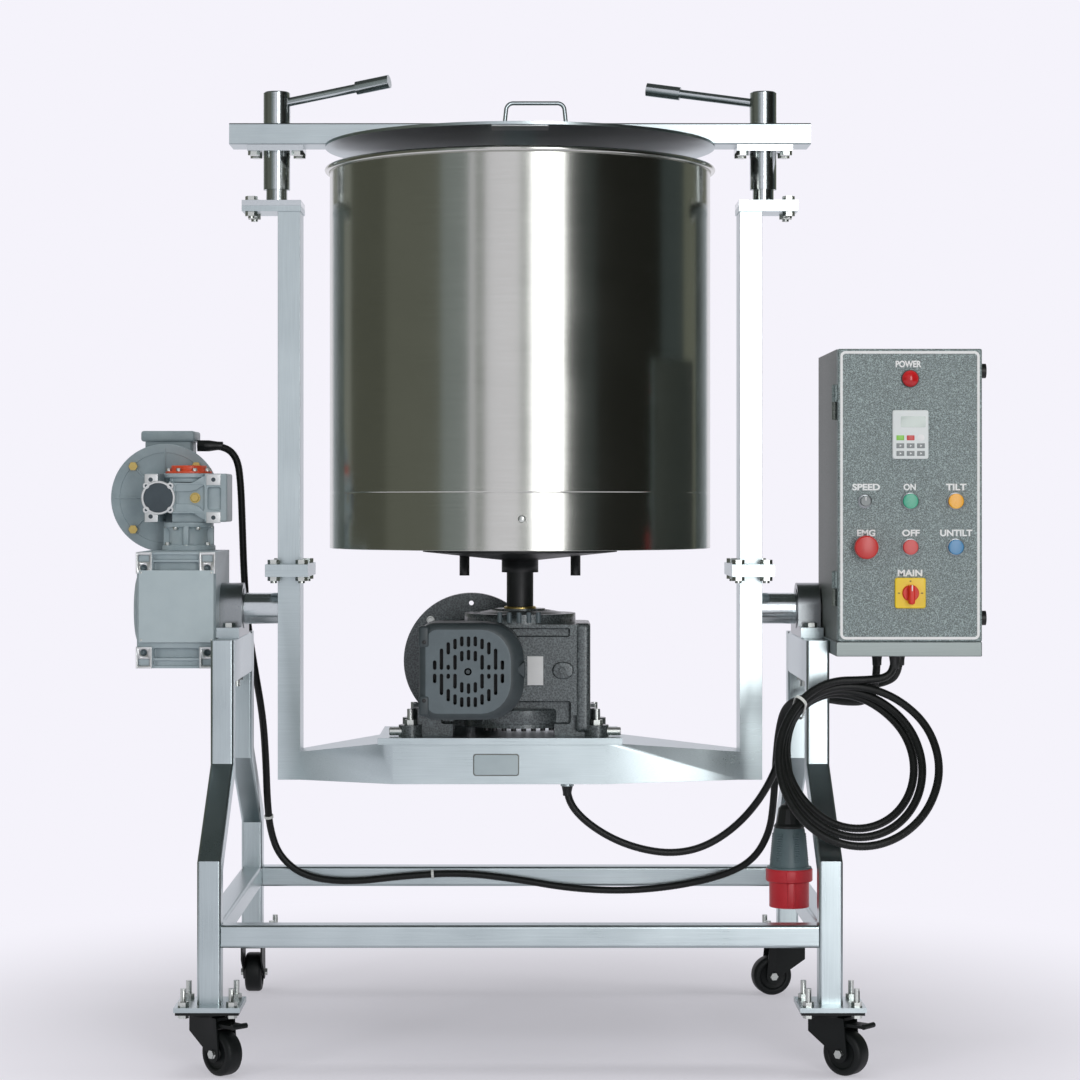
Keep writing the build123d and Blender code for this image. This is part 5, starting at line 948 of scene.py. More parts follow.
# The cowl is one pressed sheet in one paint. Its turned-in rim, sides and slot walls take the darker grey as
# painted shade, where they turn away from the light.
second_finish(cowl, COWL_GREY, lambda x, y, z: y > COWL_FRONT + 0.2)
rounded_edges(cowl, 0.5)
screw = joined(lathe([(0, 0), (8, 0), (8, 0.8), (6.5, 1.4), (0, 1.4)], 32), hex_bolt(4.2, 2.0))
placed("cowl_screw", facing(screw, MAIN_AT + (0, COWL_FRONT + 1.4, 0)), COWL_GREY, "yoke")
TAB_FRONT = -205.8
tabs = [rounded_block((-175.5, -156), (TAB_FRONT, -182), z, 5.0) for z in ((581, 617), (699, 737))]
placed("cowl_tabs", joined(*tabs), COWL_GREY, "yoke")
ear = np.array([(9, 646), (9, 676), (-9, 661)], float)
placed("cowl_ear", pressed_cap(ear, -188, -199, 3.0), COWL_GREY, "yoke")
tab_screw = facing(lathe([(0, -1), (3.4, -1), (3.4, 0.6), (2.4, 1.2), (0, 1.2)], 20))
tab_screws = copies(tab_screw, [(-166, TAB_FRONT, z) for z in (608, 709)])
placed("cowl_tab_screws", tab_screws, CAST_BLACK, "yoke")

# %% [markdown]
# The tilt motor is the same kind of casting, smaller, with its terminal box on top. The box is two
# rounded blocks, a body and an overhanging lid held by four screws. Thin webs stiffen the flange.

# %% Tilt motor
TILT_AT = (-657.0, 149.5, 959.0)
fins = ribbed_barrel(44, 70.0, 62.0, (-178.0, -14.0))
nose = lathe([(0, -16), (68, -16), (70, -14), (70, -4), (66, 0), (0, 0)], 64)
tail = [(0, -248), (58, -248), (66, -244.5), (70, -236), (70, -180), (69, -178), (60, -176), (0, -176)]
tail = lathe(tail, 72)
disc = lathe([(0, 0), (98.5, 0), (100, 1.5), (100, 10.5), (98.5, 12), (84, 12), (83, 11), (0, 11)], 96)
motor = facing(joined(fins, nose, tail, disc), TILT_AT)
placed("tilt_motor_body", motor, MOTOR_BLUE, "base", "tilt_motor")
box_body = rounded_block((-700, -614), (184.5, 270.5), (1010, 1066), 4.0)
box_lid = rounded_block((-707, -607), (177.5, 277.5), (1064, 1084), 5.0)
placed("terminal_box", joined(box_body, box_lid), MOTOR_BLUE, "base")
lid_screw = lathe([(0, 0), (4.2, 0), (4.0, 1.0), (2.8, 1.7), (0, 1.8)], 20)
lid_screws = copies(lid_screw, [(x, y, 1082.2) for x in (-698, -616) for y in (186.5, 268.5)])
placed("terminal_box_screws", lid_screws, ZINC, "base")
web = rounded_block((40, 92), (-1.5, 1.5), (10.5, 13.2), 1.0)
webs = joined(*[spun(web, angle) for angle in range(0, 360, 45)])
placed("tilt_flange_webs", facing(webs, TILT_AT), MOTOR_BLUE, "base")

# %% [markdown]
# Glands are moulded: a hexagon on the housing, and under it a tapered boot that spreads the bend.
# The plug is turned in steps: red shroud with a key and a lug, ribbed grey grip and black nut, with
# four pins inside its shroud. Ties hold a lead to the frame and gather the coil.

# %% Glands, plug and ties
boot = [(0, -26), (7.4, -26), (7.9, -25.2), (8.2, -16), (10.2, -2), (10.6, 0), (10.6, 9), (0, 9)]
gland = joined(lathe(boot, 32), lathe([(0, 8), (12, 8), (12, 21.9), (0, 21.9)], 6))
down = copies(gland, [(x, y, GLAND_BOTTOM) for x, y in ((642, -248), (624, -150), (664, -150))])
side = gland[0][:, [2, 0, 1]] * (-1, -1, 1) + TILT_ROUTE[0]
glands = joined(down, (side, gland[1]))
placed("lead_glands", glands, PLASTIC_BLACK, "base", "cable_fittings")
small_gland = (gland[0] * (0.98, 0.98, 0.68) + DRIVE_ROUTE[0], gland[1])
placed("beam_gland", small_gland, PLASTIC_BLACK, "yoke")

PLUG_FOOT = (*PLUG_AT, 259.0)
shroud = [(0, 38), (29.5, 38), (30, 37.4), (30, 0.6), (30.6, 0), (33.4, 0), (34, 0.6), (34, 43), (38.5, 44)]
shroud += [(40, 45.5), (40, 64.5), (38.5, 66), (0, 66)]
notch = rounded_block((-6, 6), (-36.5, -31), (1, 44), 1.5)
lug = rounded_block((-9, 9), (-40, -34), (46, 64), 1.5)
shroud = copies(joined(lathe(shroud, 72), notch, lug), [PLUG_FOOT])
placed("plug_shroud", shroud, PLUG_RED, "base", "mains_plug")
grip = [(0, 65), (38, 65), (38.6, 66), (38, 68.5), (33.6, 70), (32.8, 76), (26.6, 132), (25.4, 135)]
grip += [(23, 136.4), (0, 136.5)]
ribs = []
for rise in range(8, 56, 4):
    rib = rounded_block((-5.5, 5.5), (-33.6 + 0.09 * rise, -26), (rise + 70, rise + 74), 1.9)
    ribs += [spun(rib, angle) for angle in range(20, 380, 60)]
grip = copies(joined(lathe(grip, 72), *ribs), [PLUG_FOOT])
grey = placed("plug_grip", grip, PLUG_GREY, "base", "mains_plug")
nut = [(0, 135), (25.6, 135), (26, 136), (26, 139), (23, 143), (20, 158), (18.5, 168), (14, 174), (8, 176)]
nut += [(0, 176)]
nut = copies(lathe(nut, 16), [PLUG_FOOT])
nut = placed("plug_nut", nut, PLASTIC_BLACK, "base", "mains_plug", 20.0)
pins = ring_of(lathe([(0, 9), (2.4, 9), (3.0, 10.5), (3.0, 39), (0, 39)], 20), 4, 16.0, 45.0)
placed("plug_pins", copies(pins, [PLUG_FOOT]), BRONZE, "base", "mains_plug")


def strap_ring(middle, heading, half_long, half_wide, long_way, thick, width=5.0):
    """Cable tie: a flat strap whose middle line is a stretched ring square to the lead."""
    turn = np.linspace(0, tau, 48, endpoint=False)
    heading = unit(heading)
    long_way = unit(long_way - heading * np.dot(long_way, heading))
    side = np.cross(heading, long_way)
    out = np.cos(turn)[:, None] * long_way + np.sin(turn)[:, None] * side
    ring = middle + out * half_wide + np.sign(np.cos(turn))[:, None] * long_way * (half_long - half_wide)
    section = ((0, -1), (thick, -1), (thick, 1), (0, 1), (0, -1))
    rows = [ring + out * rise + heading * way * width / 2 for rise, way in section]
    return skin(np.stack(rows), closed=False)


def nearest(line, place):
    """Point and heading of a line nearest to a place."""
    index = int(np.argmin(np.linalg.norm(line - np.asarray(place), axis=1)))
    index = min(max(index, 1), len(line) - 2)
    return line[index], line[index + 1] - line[index - 1]


tilt_mm = (tilt_line - AXIS) * 1000
mains_mm = (mains_line - AXIS) * 1000
TIED = [(-482, 329.5, 349), (-166, 346.2, 235)]
straps = []
for place in TIED:
    middle, heading = nearest(tilt_mm, place)
    straps.append(strap_ring(middle, heading, 7.5, 7.5, np.cross(heading, (0.3, 0.2, 0.9)), 1.3))
TIE_TURN = 60 / 360
COIL_HALF = 10.6
strands = [nearest(mains_mm, place)[0] for place in coil_points(TIE_TURN + np.arange(4))]
across = strands[-1] - strands[0]
half_long = np.linalg.norm(across) / 2 + COIL_HALF
heading = nearest(mains_mm, strands[1])[1]
straps.append(strap_ring((strands[0] + strands[-1]) / 2, heading, half_long, COIL_HALF, across, 1.4))
placed("lead_ties", joined(*straps), TIE_WHITE, "base")

# %% [markdown]
# The main gearbox is a rough casting under thick hammer paint. Its solid has the body, feet and covers.
# Here a groove runs under the ledge of its upper front, its foot is recessed, and a domed cover with
# five screws before it and five behind closes its top. Its face has two bosses and a bare label.

# %% Main gearbox
FACE_Y = -100.0


def front_and_rear(places):
    """Places, and the same ones mirrored to the rear."""
    return np.r_[places, places * (1, -1, 1)]


groove = rounded_block((-120, 88), (-125, -88), (713, 729), 3.0)
foot_recess = rounded_block((-140, 90), (-125, -76), (558, 600), 5.0)
softened("main_gearbox", HAMMER_GREY, 5.0, 3, cuts=joined(groove, foot_recess))
dome = lathe([(96, 729), (100, 731), (100, 739), (97, 744), (88, 749), (70, 754.5), (56, 757), (47, 751)], 96)
lower_cover = lathe([(0, 552), (94, 552), (98, 555), (99.5, 560), (99.5, 582), (97, 585), (0, 586)], 96)
placed("gearbox_cover", joined(dome, lower_cover), HAMMER_GREY, "yoke")
screw = lathe([(0, 0), (4.4, 0), (4.4, 17), (3.8, 18.5), (2.4, 18.5), (2.4, 15), (0, 15)], 20)
screws = copies(screw, front_and_rear(circle(100, np.arange(-111, -70, 10), 738)))
placed("cover_screws", screws, COWL_FACE, "yoke")
screw = lathe([(0, 0), (4.6, 0), (4.6, 8), (0, 8)], 20)
screws = copies(screw, front_and_rear(circle(92, np.arange(-130, -40, 11), 546)))
placed("lower_cover_screws", screws, CAST_BLACK, "yoke")
boss = pressed_cap(corner_outline((57, 95), (639, 669), 15), FACE_Y + 1, FACE_Y - 5, 3.0)
upright = pressed_cap(corner_outline((98, 124), (545, 737), 6), FACE_Y + 30, FACE_Y - 2.5, 8.0)
placed("gearbox_bosses", joined(boss, upright), HAMMER_GREY, "yoke")
plug = facing(hex_bolt(6.0, 4.0, 1.0), (74, FACE_Y - 5, 654))
placed("gearbox_plug", plug, HAMMER_GREY, "yoke")
label = rounded_block((13, 41), (FACE_Y - 0.5, FACE_Y + 0.4), (628, 679), 0.4)
placed("gearbox_bare_label", label, LETTER_WHITE, "yoke")
seal = lathe([(24.2, 757), (29, 757), (29, 762), (27.5, 764), (24.2, 764)], 48)
placed("shaft_seal_ring", seal, YELLOW_ZINC, "yoke")
stop = sideways(lathe([(0, 0), (6.5, 0), (7.5, 1), (7.5, 24), (6.5, 25), (0, 25)], 24))
placed("foot_stops", copies(stop, [(-231, -92, 546), (153, -92, 546)]), ZINC, "yoke")

# %% [markdown]
# The bare badge on the beam is a pressed plate with rounded corners and a raised rim.

# %% Bare badge
BEAM_Y = -120.0
rim = pressed_cap(corner_outline((-82.5, -1.5), (469.5, 508.5), 5), BEAM_Y + 0.5, BEAM_Y - 1.2, 0.6)
placed("beam_badge_rim", rim, CAST_GREY, "yoke")
plate = pressed_cap(corner_outline((-80.5, -3.5), (471.5, 506.5), 4), BEAM_Y, BEAM_Y - 1.5, 0.3)
placed("beam_badge_bare", plate, LABEL_BARE, "yoke")

# %% [markdown]
# The tilt drive is two worm boxes. The lower one has four machined lugs on its front with bolt holes
# through them and pockets and grooves between, and a bare plate covers its middle.

# %% Tilt drive, lower box
BOX_X = (-677.0, -537.0)
BOX_Y = -111.0
BOX_Z = (658.0, 863.0)
LUG_X, LUG_Z = 28.0, 38.0
TRUNNION_Z = 760.0
# Each groove: the depth it reaches in Y, its limits in Z and its edge radius.
GROOVES = [(-92, (826, 846), 3.0), (-92, (676, 694), 3.0), (-98, (849, 859), 2.0), (-98, (662, 672), 2.0)]
cuts = [rounded_block((-647, -567), (-124, deep), z, radius) for deep, z, radius in GROOVES]
bore = facing(lathe([(0, -3), (6.2, -3), (6.2, 14), (0, 14)], 32))
lugs = []
for left in (BOX_X[0], BOX_X[1] - LUG_X):
    for low, way in ((BOX_Z[0], 1), (BOX_Z[1] - LUG_Z, -1)):
        middle = low + LUG_Z / 2
        cuts.append(copies(bore, [(left + LUG_X / 2, BOX_Y + 12, middle + way * 9)]))
        pocket = (middle - way * 8 - 6, middle - way * 8 + 6)
        cuts.append(rounded_block((left + 4, left + LUG_X - 4), (BOX_Y - 5, BOX_Y + 2.5), pocket, 1.2))
        lugs.append(rounded_block((left, left + LUG_X), (BOX_Y - 0.8, BOX_Y + 2), (low, low + LUG_Z), 0.6))
softened("tilt_gearbox", GEAR_BLUE, 2.0, cuts=joined(*cuts))
lugs = placed("tilt_box_lug_faces", joined(*lugs), MACHINED, "base")
carved(lugs, joined(*cuts))
plate = pressed_cap(corner_outline((-672, -540), (704, 831), 2), BOX_Y + 3, BOX_Y - 1.2, 0.4)
placed("tilt_box_bare_plate", plate, LABEL_BARE, "base")
rivet = facing(lathe([(0, 0), (2.2, 0), (1.9, 0.8), (0, 1.2)], 16))
rivets = copies(rivet, [(x, BOX_Y - 1.2, z) for x in (-668, -544) for z in (708, 827)])
placed("plate_rivets", rivets, ZINC, "base")
cover = lathe([(18, 0), (62, 0), (64, 2), (64, 7), (58, 11), (24, 11), (22, 9), (18, 9)], 64)
cover = sideways(flipped(cover), (BOX_X[0], 0, TRUNNION_Z))
placed("tilt_box_side_cover", cover, GEAR_BLUE, "base")

# %% [markdown]
# The upper box is a rounded block with notches carved into it. They are cut one at a time, because
# cutters that overlap spoil each other's cut. Machined pads stand at its corners, two curved arms meet
# over a slate cap in a machined seat, and an orange cover closes its top. A necked foot joins the boxes.

# %% Tilt drive, upper box
STAGE_X = (-682.0, -532.0)
STAGE_Y = (42.5, 137.5)
STAGE_Z = (915.0, 1003.0)
STAGE_MID = (-607.0, 90.0)
CAP_AT = (TILT_AT[0], STAGE_Y[0], TILT_AT[2])
EAR_RING = 31.0
# Each notch: its limits in X, the depth it reaches in Y, its limits in Z and its edge radius.
NOTCHES = [
    ((-658, -637), 150, (985, 1010), 4.0),
    ((-658, -634), 150, (908, 932), 4.0),
    ((-627, -573), 50, (934, 984), 6.0),
    ((-568, -543), 52, (936, 979), 5.0),
    ((-637, -573), 62, (986, 1010), 4.0),
    ((-637, -573), 62, (908, 931), 4.0),
]
# Each pad: its hole's place in X and Z, and how far it reaches to the left of the hole.
PADS = [(-557, 992, 13), (-557, 923, 13), (-671, 992, 11), (-671, 925, 11)]
ARM = np.array([(-633, 970), (-600, 970), (-588, 973), (-579, 979), (-570, 988), (-570, 1000), (-580, 996),
                (-592, 988), (-603, 985), (-633, 985)], float)


def on_stage(shape, height=0.0):
    """A shape about Z, moved over the middle of the upper box."""
    return copies(shape, [(*STAGE_MID, height)])


block = rounded_block(STAGE_X, STAGE_Y, STAGE_Z, 4.0)
block = placed("upper_stage_body", block, GEAR_BLUE, "base", "tilt_primary_gearbox")
for x, deep, z, radius in NOTCHES:
    carved(block, rounded_block(x, (30, deep), z, radius))
hole = facing(lathe([(0, -2), (4.2, -2), (4.2, 16), (0, 16)], 24))
carved(block, copies(hole, [(x, STAGE_Y[0] + 14, z) for x, z, reach in PADS]))
rounded_edges(block, 1.5)
mirrored = (ARM * (1, -1) + (0, 2 * TILT_AT[2]))[::-1]
forms = [pressed_cap(outline, 70, 45, 1.5, 3) for outline in (ARM, mirrored)]
neck = [(0, 862.5), (47, 862.5), (48.5, 864), (48.5, 871), (47, 872.5), (37, 874), (35, 880), (35, 898)]
neck += [(38, 904), (44, 905.5), (45, 907), (45, 914), (0, 916)]
forms.append(on_stage(lathe(neck, 64)))
forms.append(rounded_block((-612, -602), (43, 137), (870, 908), 2.0))
forms.append(rounded_block((-653, -561), (86, 94), (870, 908), 2.0))
collar = [(0, 988), (38, 988), (39, 994), (45, 996), (46, 997), (46, 1002.5), (45, 1003.5), (0, 1003.5)]
forms.append(on_stage(lathe(collar, 64)))
placed("upper_stage_forms", joined(*forms), GEAR_BLUE, "base")
cover = [(0, 1003.5), (42, 1003.5), (42.5, 1004), (42.5, 1007), (42, 1007.5), (33.5, 1008.5), (32.5, 1010)]
cover += [(32.5, 1016.5), (31, 1018), (0, 1018)]
placed("upper_stage_cover", on_stage(lathe(cover, 64)), ORANGE_CAP, "base")
stub = hex_bolt(4.6, 4.4, 1.0)
bolts = [on_stage(ring_of(stub, 8, 38.0, 22.5), 1007.5), on_stage(ring_of(stub, 6, 42.0, 30.0), 872.5)]
bolts.append(on_stage(ring_of(flipped(stub), 6, 41.0), 905.5))
placed("stage_bolts", joined(*bolts), ZINC, "base")
pads = [rounded_block((x - reach, x + 13), (41.6, 44), (z - 10, z + 10), 0.6) for x, z, reach in PADS]
seat = lathe([(24, 0), (31, 0), (31, 3), (30, 4), (27, 4), (27, 2), (24, 2)], 64)
ears = ring_of(lathe([(0, 0), (6, 0), (6, 3.2), (5.5, 3.6), (0, 3.6)], 24), 4, EAR_RING, 45.0)
pads.append(facing(joined(seat, ears), CAP_AT))
placed("stage_pads", joined(*pads), MACHINED, "base")
cap = lathe([(0, 0), (27.2, 0), (27.2, 2.2), (26.4, 3.0), (0, 3.2)], 64)
ear_holes = ring_of(lathe([(0, 3.5), (2.6, 3.5), (2.6, 3.8), (0, 3.8)], 20), 4, EAR_RING, 45.0)
pad_hole = facing(lathe([(0, 0), (4.0, 0), (4.0, 0.2), (0, 0.2)], 24))
pad_holes = copies(pad_hole, [(x, 41.5, z) for x, z, reach in PADS])
cap = joined(facing(joined(cap, ear_holes), CAP_AT), pad_holes)
placed("stage_cap", cap, COVER_SLATE, "base")
socket = lathe([(0, 5.9), (3.4, 5.9), (3.4, 6.2), (0, 6.2)], 6)
plug = facing(joined(hex_bolt(8.0, 4.5, 1.5), socket), (-591, 49.5, 959))
placed("stage_brass_plug", plug, YELLOW_ZINC, "base")

# %% [markdown]
# Bolts stay as they are in the solids, with small bevels. Those on the motor's flange are yellow
# passivated zinc and the rest is bright zinc, so a face takes its finish from where it is. The bearing
# blocks are ground castings on bright feet, with a bearing's turned ring in each side that shows.

# %% Bolts and bearing blocks
BLOCK_FOOT_Z = 729.2
bolts = softened("base_bolts", ZINC, 0.7)
second_finish(bolts, YELLOW_ZINC, lambda x, y, z: (z > 860) & (x < -520))
second_finish(finished["pillow_blocks"], STEEL_ACROSS, lambda x, y, z: z < BLOCK_FOOT_Z)
insert = lathe([(20.1, -1), (36, -1), (36, 1.2), (33, 2.2), (27, 2.2), (26, 0.8), (20.1, 0.8)], 64)
sides = ((insert, 537), (flipped(insert), 497), (insert, -497))
rings = [sideways(ring, (x, 0, TRUNNION_Z)) for ring, x in sides]
placed("bearing_inserts", joined(*rings), GROUND_STEEL, "base")

# %% [markdown]
# The control panel is a folded box with a speckled door. Its edge has one pale printed line. Controls
# are turned shapes in bright bezels, the display unit is a moulded block with keys, and the words over
# the controls are plain print.

# %% Control panel
DOOR_X = (540.0, 785.0)
DOOR_Y = -290.0
DOOR_Z = (714.0, 1212.0)
LEFT, MIDDLE, RIGHT = 585.5, 662.5, 739.5
START_Z = 953.0
STOP_Z = 875.0
MAIN_Z = 797.0
LAMP_Z = 1161.0
HINGES_Z = (804.3, 1122.3)


def on_door(shape, x, z):
    """A shape turned about Z, set on the door's face."""
    return facing(shape, (x, DOOR_Y, z))


def raised(x, z, rise, radius):
    """Rounded block between limits in X and Z, and between two heights before the door's face."""
    return rounded_block(x, (DOOR_Y - rise[1], DOOR_Y - rise[0]), z, radius)


def inset(gap, radius):
    """The door's outline drawn in by a gap, just before its face."""
    outline = corner_outline((DOOR_X[0] + gap, DOOR_X[1] - gap), (DOOR_Z[0] + gap, DOOR_Z[1] - gap), radius)
    return np.insert(outline, 1, DOOR_Y - 0.15, axis=1)


def word(text, x, z, width, height=11.5):
    """Word in print: its outline filled, fitted to a width and a letter height, on the door's face."""
    data = bpy.data.curves.new("word", "FONT")
    data.body = text
    data.offset = 0.04
    flat, faces = curve_mesh(data)
    low, high = flat.min(axis=0), flat.max(axis=0)
    fitted = (flat - (low + high) / 2)[:, :2] / (high - low)[:2] * (width, height)
    return np.insert(fitted + (x, z), 1, DOOR_Y - 0.2, axis=1), faces


pan = pressed_cap(corner_outline(DOOR_X, DOOR_Z, 3), -270.2, DOOR_Y, 2.5)
pan = placed("door_pan", pan, PANEL_COAT, "panel_door", "panel_door")
carved(pan, pressed_cap(corner_outline((542, 783), (716, 1210), 2), -269, -288, 1.5))
flat_faces(pan)
knuckle = lathe([(2.1, 0), (3.5, 0), (4, 0.5), (4, 28.5), (3.5, 29), (2.1, 29), (2.1, 0)], 24)
leaf = rounded_block((536, 541), (-284, -271), (0, 29), 0.8)
knuckles = copies(knuckle, [(536, -270, low) for low in HINGES_Z])
leaves = copies(leaf, [(0, 0, low) for low in HINGES_Z])
placed("door_knuckles", joined(knuckles, leaves), PANEL_COAT, "panel_door", "panel_door")
line = skin(np.stack([inset(4, 9), inset(8.4, 5)]), closed=False)
placed("door_edge_line", line, LETTER_WHITE, "panel_door")
WORDS = [
    ("POWER", 660, 1186, 44), ("SPEED", 588, 977, 47), ("ON", 662, 977, 21), ("TILT", 741, 977, 35),
    ("EMG", 588, 899, 31), ("OFF", 664, 899, 30), ("UNTILT", 741, 899, 55), ("MAIN", MIDDLE, 831, 42),
]
words = joined(*[word(*entry) for entry in WORDS])
placed("door_words", words, LETTER_WHITE, "panel_door")

# %% Buttons, lamp and knob
BUTTONS = {
    "start_button": (MIDDLE, START_Z, CAP_GREEN, "button_green"),
    "tilt_button": (RIGHT, START_Z, CAP_YELLOW, "button_yellow"),
    "stop_button": (MIDDLE, STOP_Z, CAP_RED, "button_red"),
    "untilt_button": (RIGHT, STOP_Z, CAP_BLUE, "button_blue"),
}
bezel = lathe([(10.8, 0), (15, 0), (15, 2.0), (14.4, 2.8), (13.4, 3.0), (13.2, 2.4), (10.8, 2.4)], 48)
bezels = [on_door(bezel, x, z) for x, z, *_ in BUTTONS.values()]
bezels.append(on_door(lathe([(5.3, 0), (12, 0), (12, 1.4), (11, 2), (5.3, 2)], 48), LEFT, START_Z))
placed("control_bezels", joined(*bezels), GROUND_STEEL, "panel_door", "door_fittings")
collar = on_door(lathe([(10.8, 0), (15, 0), (15, 6), (14, 7), (10.8, 7)], 48), LEFT, STOP_Z)
lamp_foot = on_door(lathe([(0, 0), (15, 0), (15, 4), (14.6, 4.6), (0, 4.6)], 48), MIDDLE, LAMP_Z)
placed("control_collars", joined(collar, lamp_foot), PLASTIC_BLACK, "panel_door")
dome = np.concatenate([[(0, 4)], arc((0, 4.0), 14.0, 0, 90, 14) * (1, 0.72) + (0, 1.3)])
placed("power_lamp", on_door(lathe(dome, 48), MIDDLE, LAMP_Z), LAMP_RED, "panel_door")
cap = [(0, -6), (10.4, -6), (10.4, 6.9), (12.6, 7.0), (12.9, 7.4), (12.9, 10.0), (12.3, 10.8), (11.2, 11.0)]
cap = lathe(cap + [(0, 10.7)], 48)
for node, (x, z, material, slot_name) in BUTTONS.items():
    placed(node + "_cap", on_door(cap, x, z), material, node, node)
mushroom = [(0, -6), (10.4, -6), (10.4, 14.5), (17.5, 15.2), (19.6, 16.6), (20, 19), (20, 28), (19.4, 30.4)]
mushroom += [(18.4, 31.5), (17.2, 31.9), (0, 31.9)]
mushroom = on_door(lathe(mushroom, 64), LEFT, STOP_Z)
placed("emergency_mushroom", mushroom, CAP_RED, "emergency_button", "emergency_button")
knurl = ribbed_barrel(24, 9.0, 8.5, (2.4, 16.0), 0.5)
knob_top = lathe([(0, 15.6), (8.6, 15.6), (8.4, 17.4), (7.6, 18.2), (0, 18.2)], 40)
spindle = lathe([(0, -6), (4.9, -6), (4.9, 3), (0, 3)], 24)
knob = on_door(joined(knurl, knob_top, spindle), LEFT, START_Z)
placed("speed_dial", knob, CAP_GREY, "speed_knob", "speed_knob")
pointer = raised((LEFT - 0.7, LEFT + 0.7), (START_Z + 1, START_Z + 7.6), (17.8, 18.4), 0.25)
placed("speed_dial_mark", pointer, LETTER_WHITE, "speed_knob")

# %% Main switch
plate = pressed_cap(corner_outline((636.5, 688.5), (771, 823), 4), DOOR_Y, DOOR_Y - 6, 1.6)
placed("main_switch_plate", plate, PLATE_YELLOW, "panel_door")
MARKS = [((661, 664), (816.5, 818.2)), ((641, 645), (796.2, 797.8)), ((680, 684), (796.2, 797.8))]
marks = [raised(x, z, (5.8, 6.2), 0.15) for x, z in MARKS]
placed("main_switch_marks", joined(*marks), PLASTIC_BLACK, "panel_door")
disc = lathe([(0, -6), (4.9, -6), (4.9, 6.3), (14, 6.3), (14, 10.8), (12.8, 12.2), (0, 12.2)], 56)
handle = pressed_cap(corner_outline((-5, 5), (-19.0, 14), (4.8, 3, 3, 4.8)), -11, -28.2, 2.4)
handle = joined(on_door(disc, MIDDLE, MAIN_Z), copies(handle, [(MIDDLE, DOOR_Y, MAIN_Z)]))
placed("main_switch_handle", handle, SWITCH_RED, "main_switch", "main_switch")
line = raised((661.6, 663.4), (801, 811), (27.9, 28.5), 0.25)
placed("main_switch_line", line, LETTER_WHITE, "main_switch")

# %% Display unit and latches
housing = pressed_cap(corner_outline((632, 693), (1024.5, 1107.5), 4), DOOR_Y, DOOR_Y - 7.6, 1.6)
placed("display_unit", housing, KEYPAD_PALE, "panel_door")
glass = pressed_cap(corner_outline((646, 688), (1078.5, 1097), 1), DOOR_Y - 7, DOOR_Y - 7.9, 0.2)
placed("display_glass", glass, LCD_GREEN, "panel_door")
# The first row holds a start key, a stop key and a small dial.
KEYS = [(x, z) for z in (1060.5, 1047.0, 1034.0) for x in (645.0, 662.5, 680.0)]
keys = [raised((x - 6.6, x + 6.6), (z - 4.2, z + 4.2), (7.0, 8.0), 0.45) for x, z in KEYS]
placed("display_start_key", keys[0], KEY_LIME, "panel_door")
placed("display_stop_key", keys[1], CAP_RED, "panel_door")
placed("display_keys", joined(*keys[3:]), CAP_GREY, "panel_door")
dial = on_door(lathe([(0, 7.0), (6, 7.0), (6, 7.7), (5.2, 8.0), (0, 8.0)], 32), *KEYS[2])
arrow = facing(lathe([(0, 0), (2.2, 0), (0, 0.15)], 3))
arrows = copies(arrow, [(x, DOOR_Y - 8.0, z) for x, z in KEYS[3:]])
placed("display_dial", joined(dial, arrows), LETTER_WHITE, "panel_door")
for node in ("door_latch_lower", "door_latch_upper"):
    softened(node, PLASTIC_BLACK, 2.0, 3)
print("panel pieces ready")

# %% [markdown]
# The side frames are square tube, cut on mitres and welded. One rounded section is carried along each
# leg's line, leaning at a bend by half the turn, so that the corners stay crisp.

# %% Side frames
FRAME_X = 517.0
TUBE = 20.0
RAIL = TUBE - 0.4
LEG = np.array([(375, 117), (375, 344), (170, 487), (170, 711)], float)


def tube_run(line, half_across, half_deep, x, radius=5.0):
    """Square tube along a line in Y and Z: point = line point + across in X + depth along the mitre."""
    line = np.asarray(line, float)
    way = unit(np.diff(line, axis=0))
    normal = np.stack([-way[:, 1], way[:, 0]], axis=1)
    before, after = np.concatenate([normal[:1], normal]), np.concatenate([normal, normal[-1:]])
    mitre = (before + after) / (1 + (before * after).sum(axis=1))[:, None]
    section = corner_outline((-half_across, half_across), (-half_deep, half_deep), radius, 5)[::-1]
    places = line[:, None] + section[None, :, 1:] * mitre[:, None]
    across = np.broadcast_to(x + section[:, 0], places.shape[:2])
    return skin(np.concatenate([across[..., None], places], axis=2))


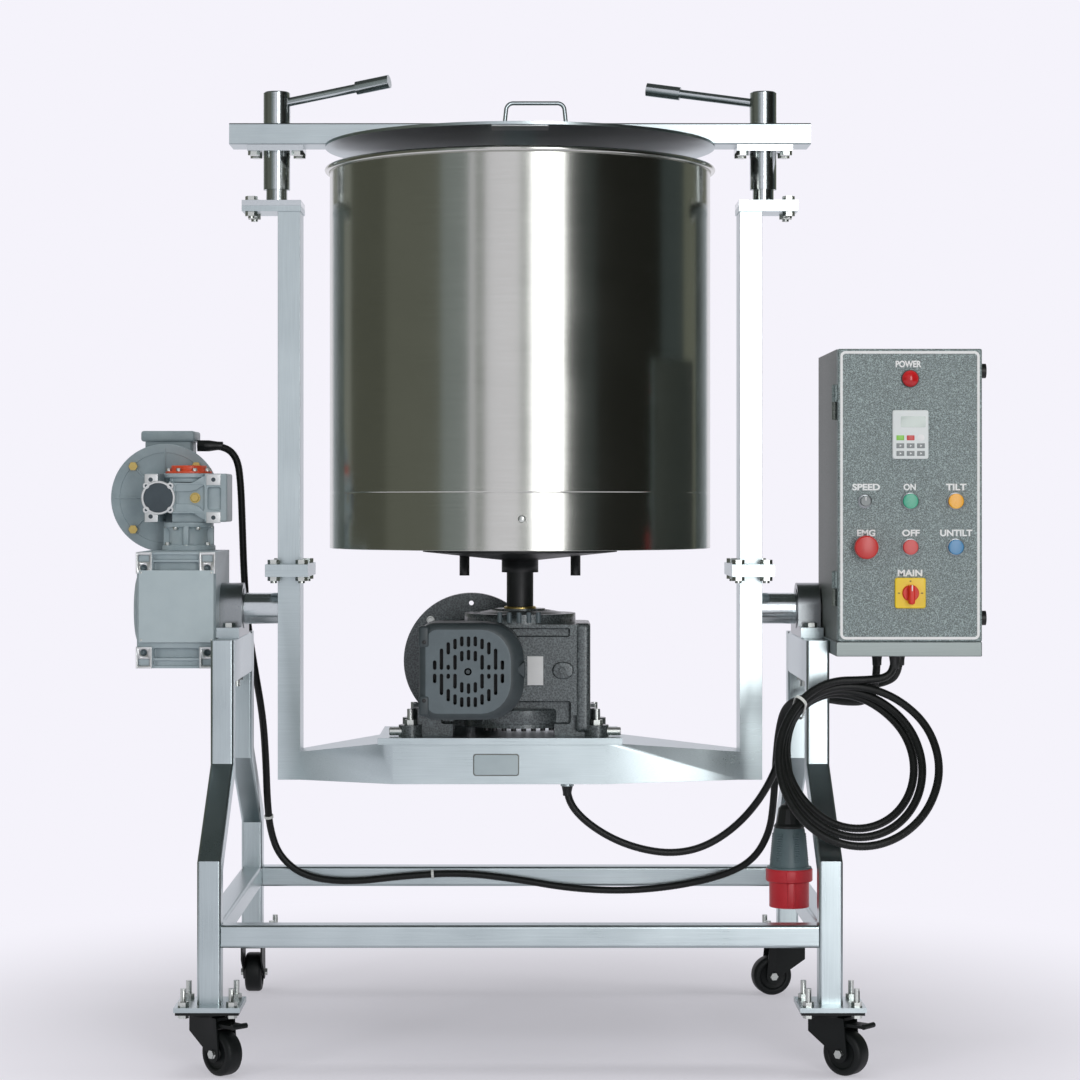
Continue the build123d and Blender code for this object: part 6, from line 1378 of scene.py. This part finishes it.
for side, x in (("left", -FRAME_X), ("right", FRAME_X)):
    runs = [tube_run(LEG, TUBE, TUBE, x), tube_run(LEG * (-1, 1), TUBE, TUBE, x)]
    runs.append(tube_run([(-152, 673), (152, 673)], RAIL, 38.0, x))
    runs.append(tube_run([(-358, 229), (358, 229)], RAIL, 19.0, x))
    node = "side_frame_" + side
    tubes = placed("side_frame_tubes_" + side, joined(*runs), STEEL_UPRIGHT, "base", node)
    flat_faces(tubes)
print("side frames ready")

# %% [markdown]
# Caster wheels are turned black plastic: a rounded tread and a dished side with a hub. The axle ends on
# the forks are bright, and the casters' own plates under the feet are black. A wheel is one lathe
# profile, turned to its fork's heading.

# %% Casters and feet
CASTER_AT = {"front_left": (-FRAME_X, -375, -45), "front_right": (FRAME_X, -375, -40)}
CASTER_AT |= {"rear_left": (-FRAME_X, 375, 90), "rear_right": (FRAME_X, 375, 190)}
TRAIL = 32.0
AXLE_Z = 37.5
AXLE_END = 20.7
CASTER_TOP_Z = 108.6


def axle_ends(x, y, yaw):
    """Test for the faces at the ends of the axle of a fork with a heading."""
    c, s = np.cos(np.radians(yaw)), np.sin(np.radians(yaw))
    return lambda px, py, pz: (np.abs((py - y) * c - (px - x) * s) > AXLE_END) & (pz < 60)


half = [(4.4, 15.4), (9.0, 15.4), (10.0, 14.6), (11.0, 12.6), (23.0, 12.6), (24.6, 13.4), (25.4, 15.2)]
half += [(26.6, 16.0), (30.5, 16.0)]
half = np.concatenate([half, arc((30.5, 9.0), 7.0, 60, 0, 3)])
wheel = lathe(np.concatenate([half * (1, -1), half[::-1], half[:1] * (1, -1)]), 72)
wheel = facing(wheel, (TRAIL, 0, AXLE_Z))
for corner, (x, y, yaw) in CASTER_AT.items():
    node = "caster_wheel_" + corner
    placed("wheel_" + corner, spun(wheel, yaw, (x, y, 0)), CASTER_BLACK, node, node)
    second_finish(finished["caster_fork_" + corner], ZINC, axle_ends(x, y, yaw))
second_finish(finished["foot_plates"], CASTER_BLACK, lambda x, y, z: z < CASTER_TOP_Z)
print("casters ready")

# %% [markdown]
# The lid's front flap has a plain backing plate under its handle.

# %% Lid details
backing = rounded_block((-48, 48), (-338, -278), (1584.2, 1586.2), 0.8)
placed("lid_backing_plate", backing, MACHINED, "lid_flap")
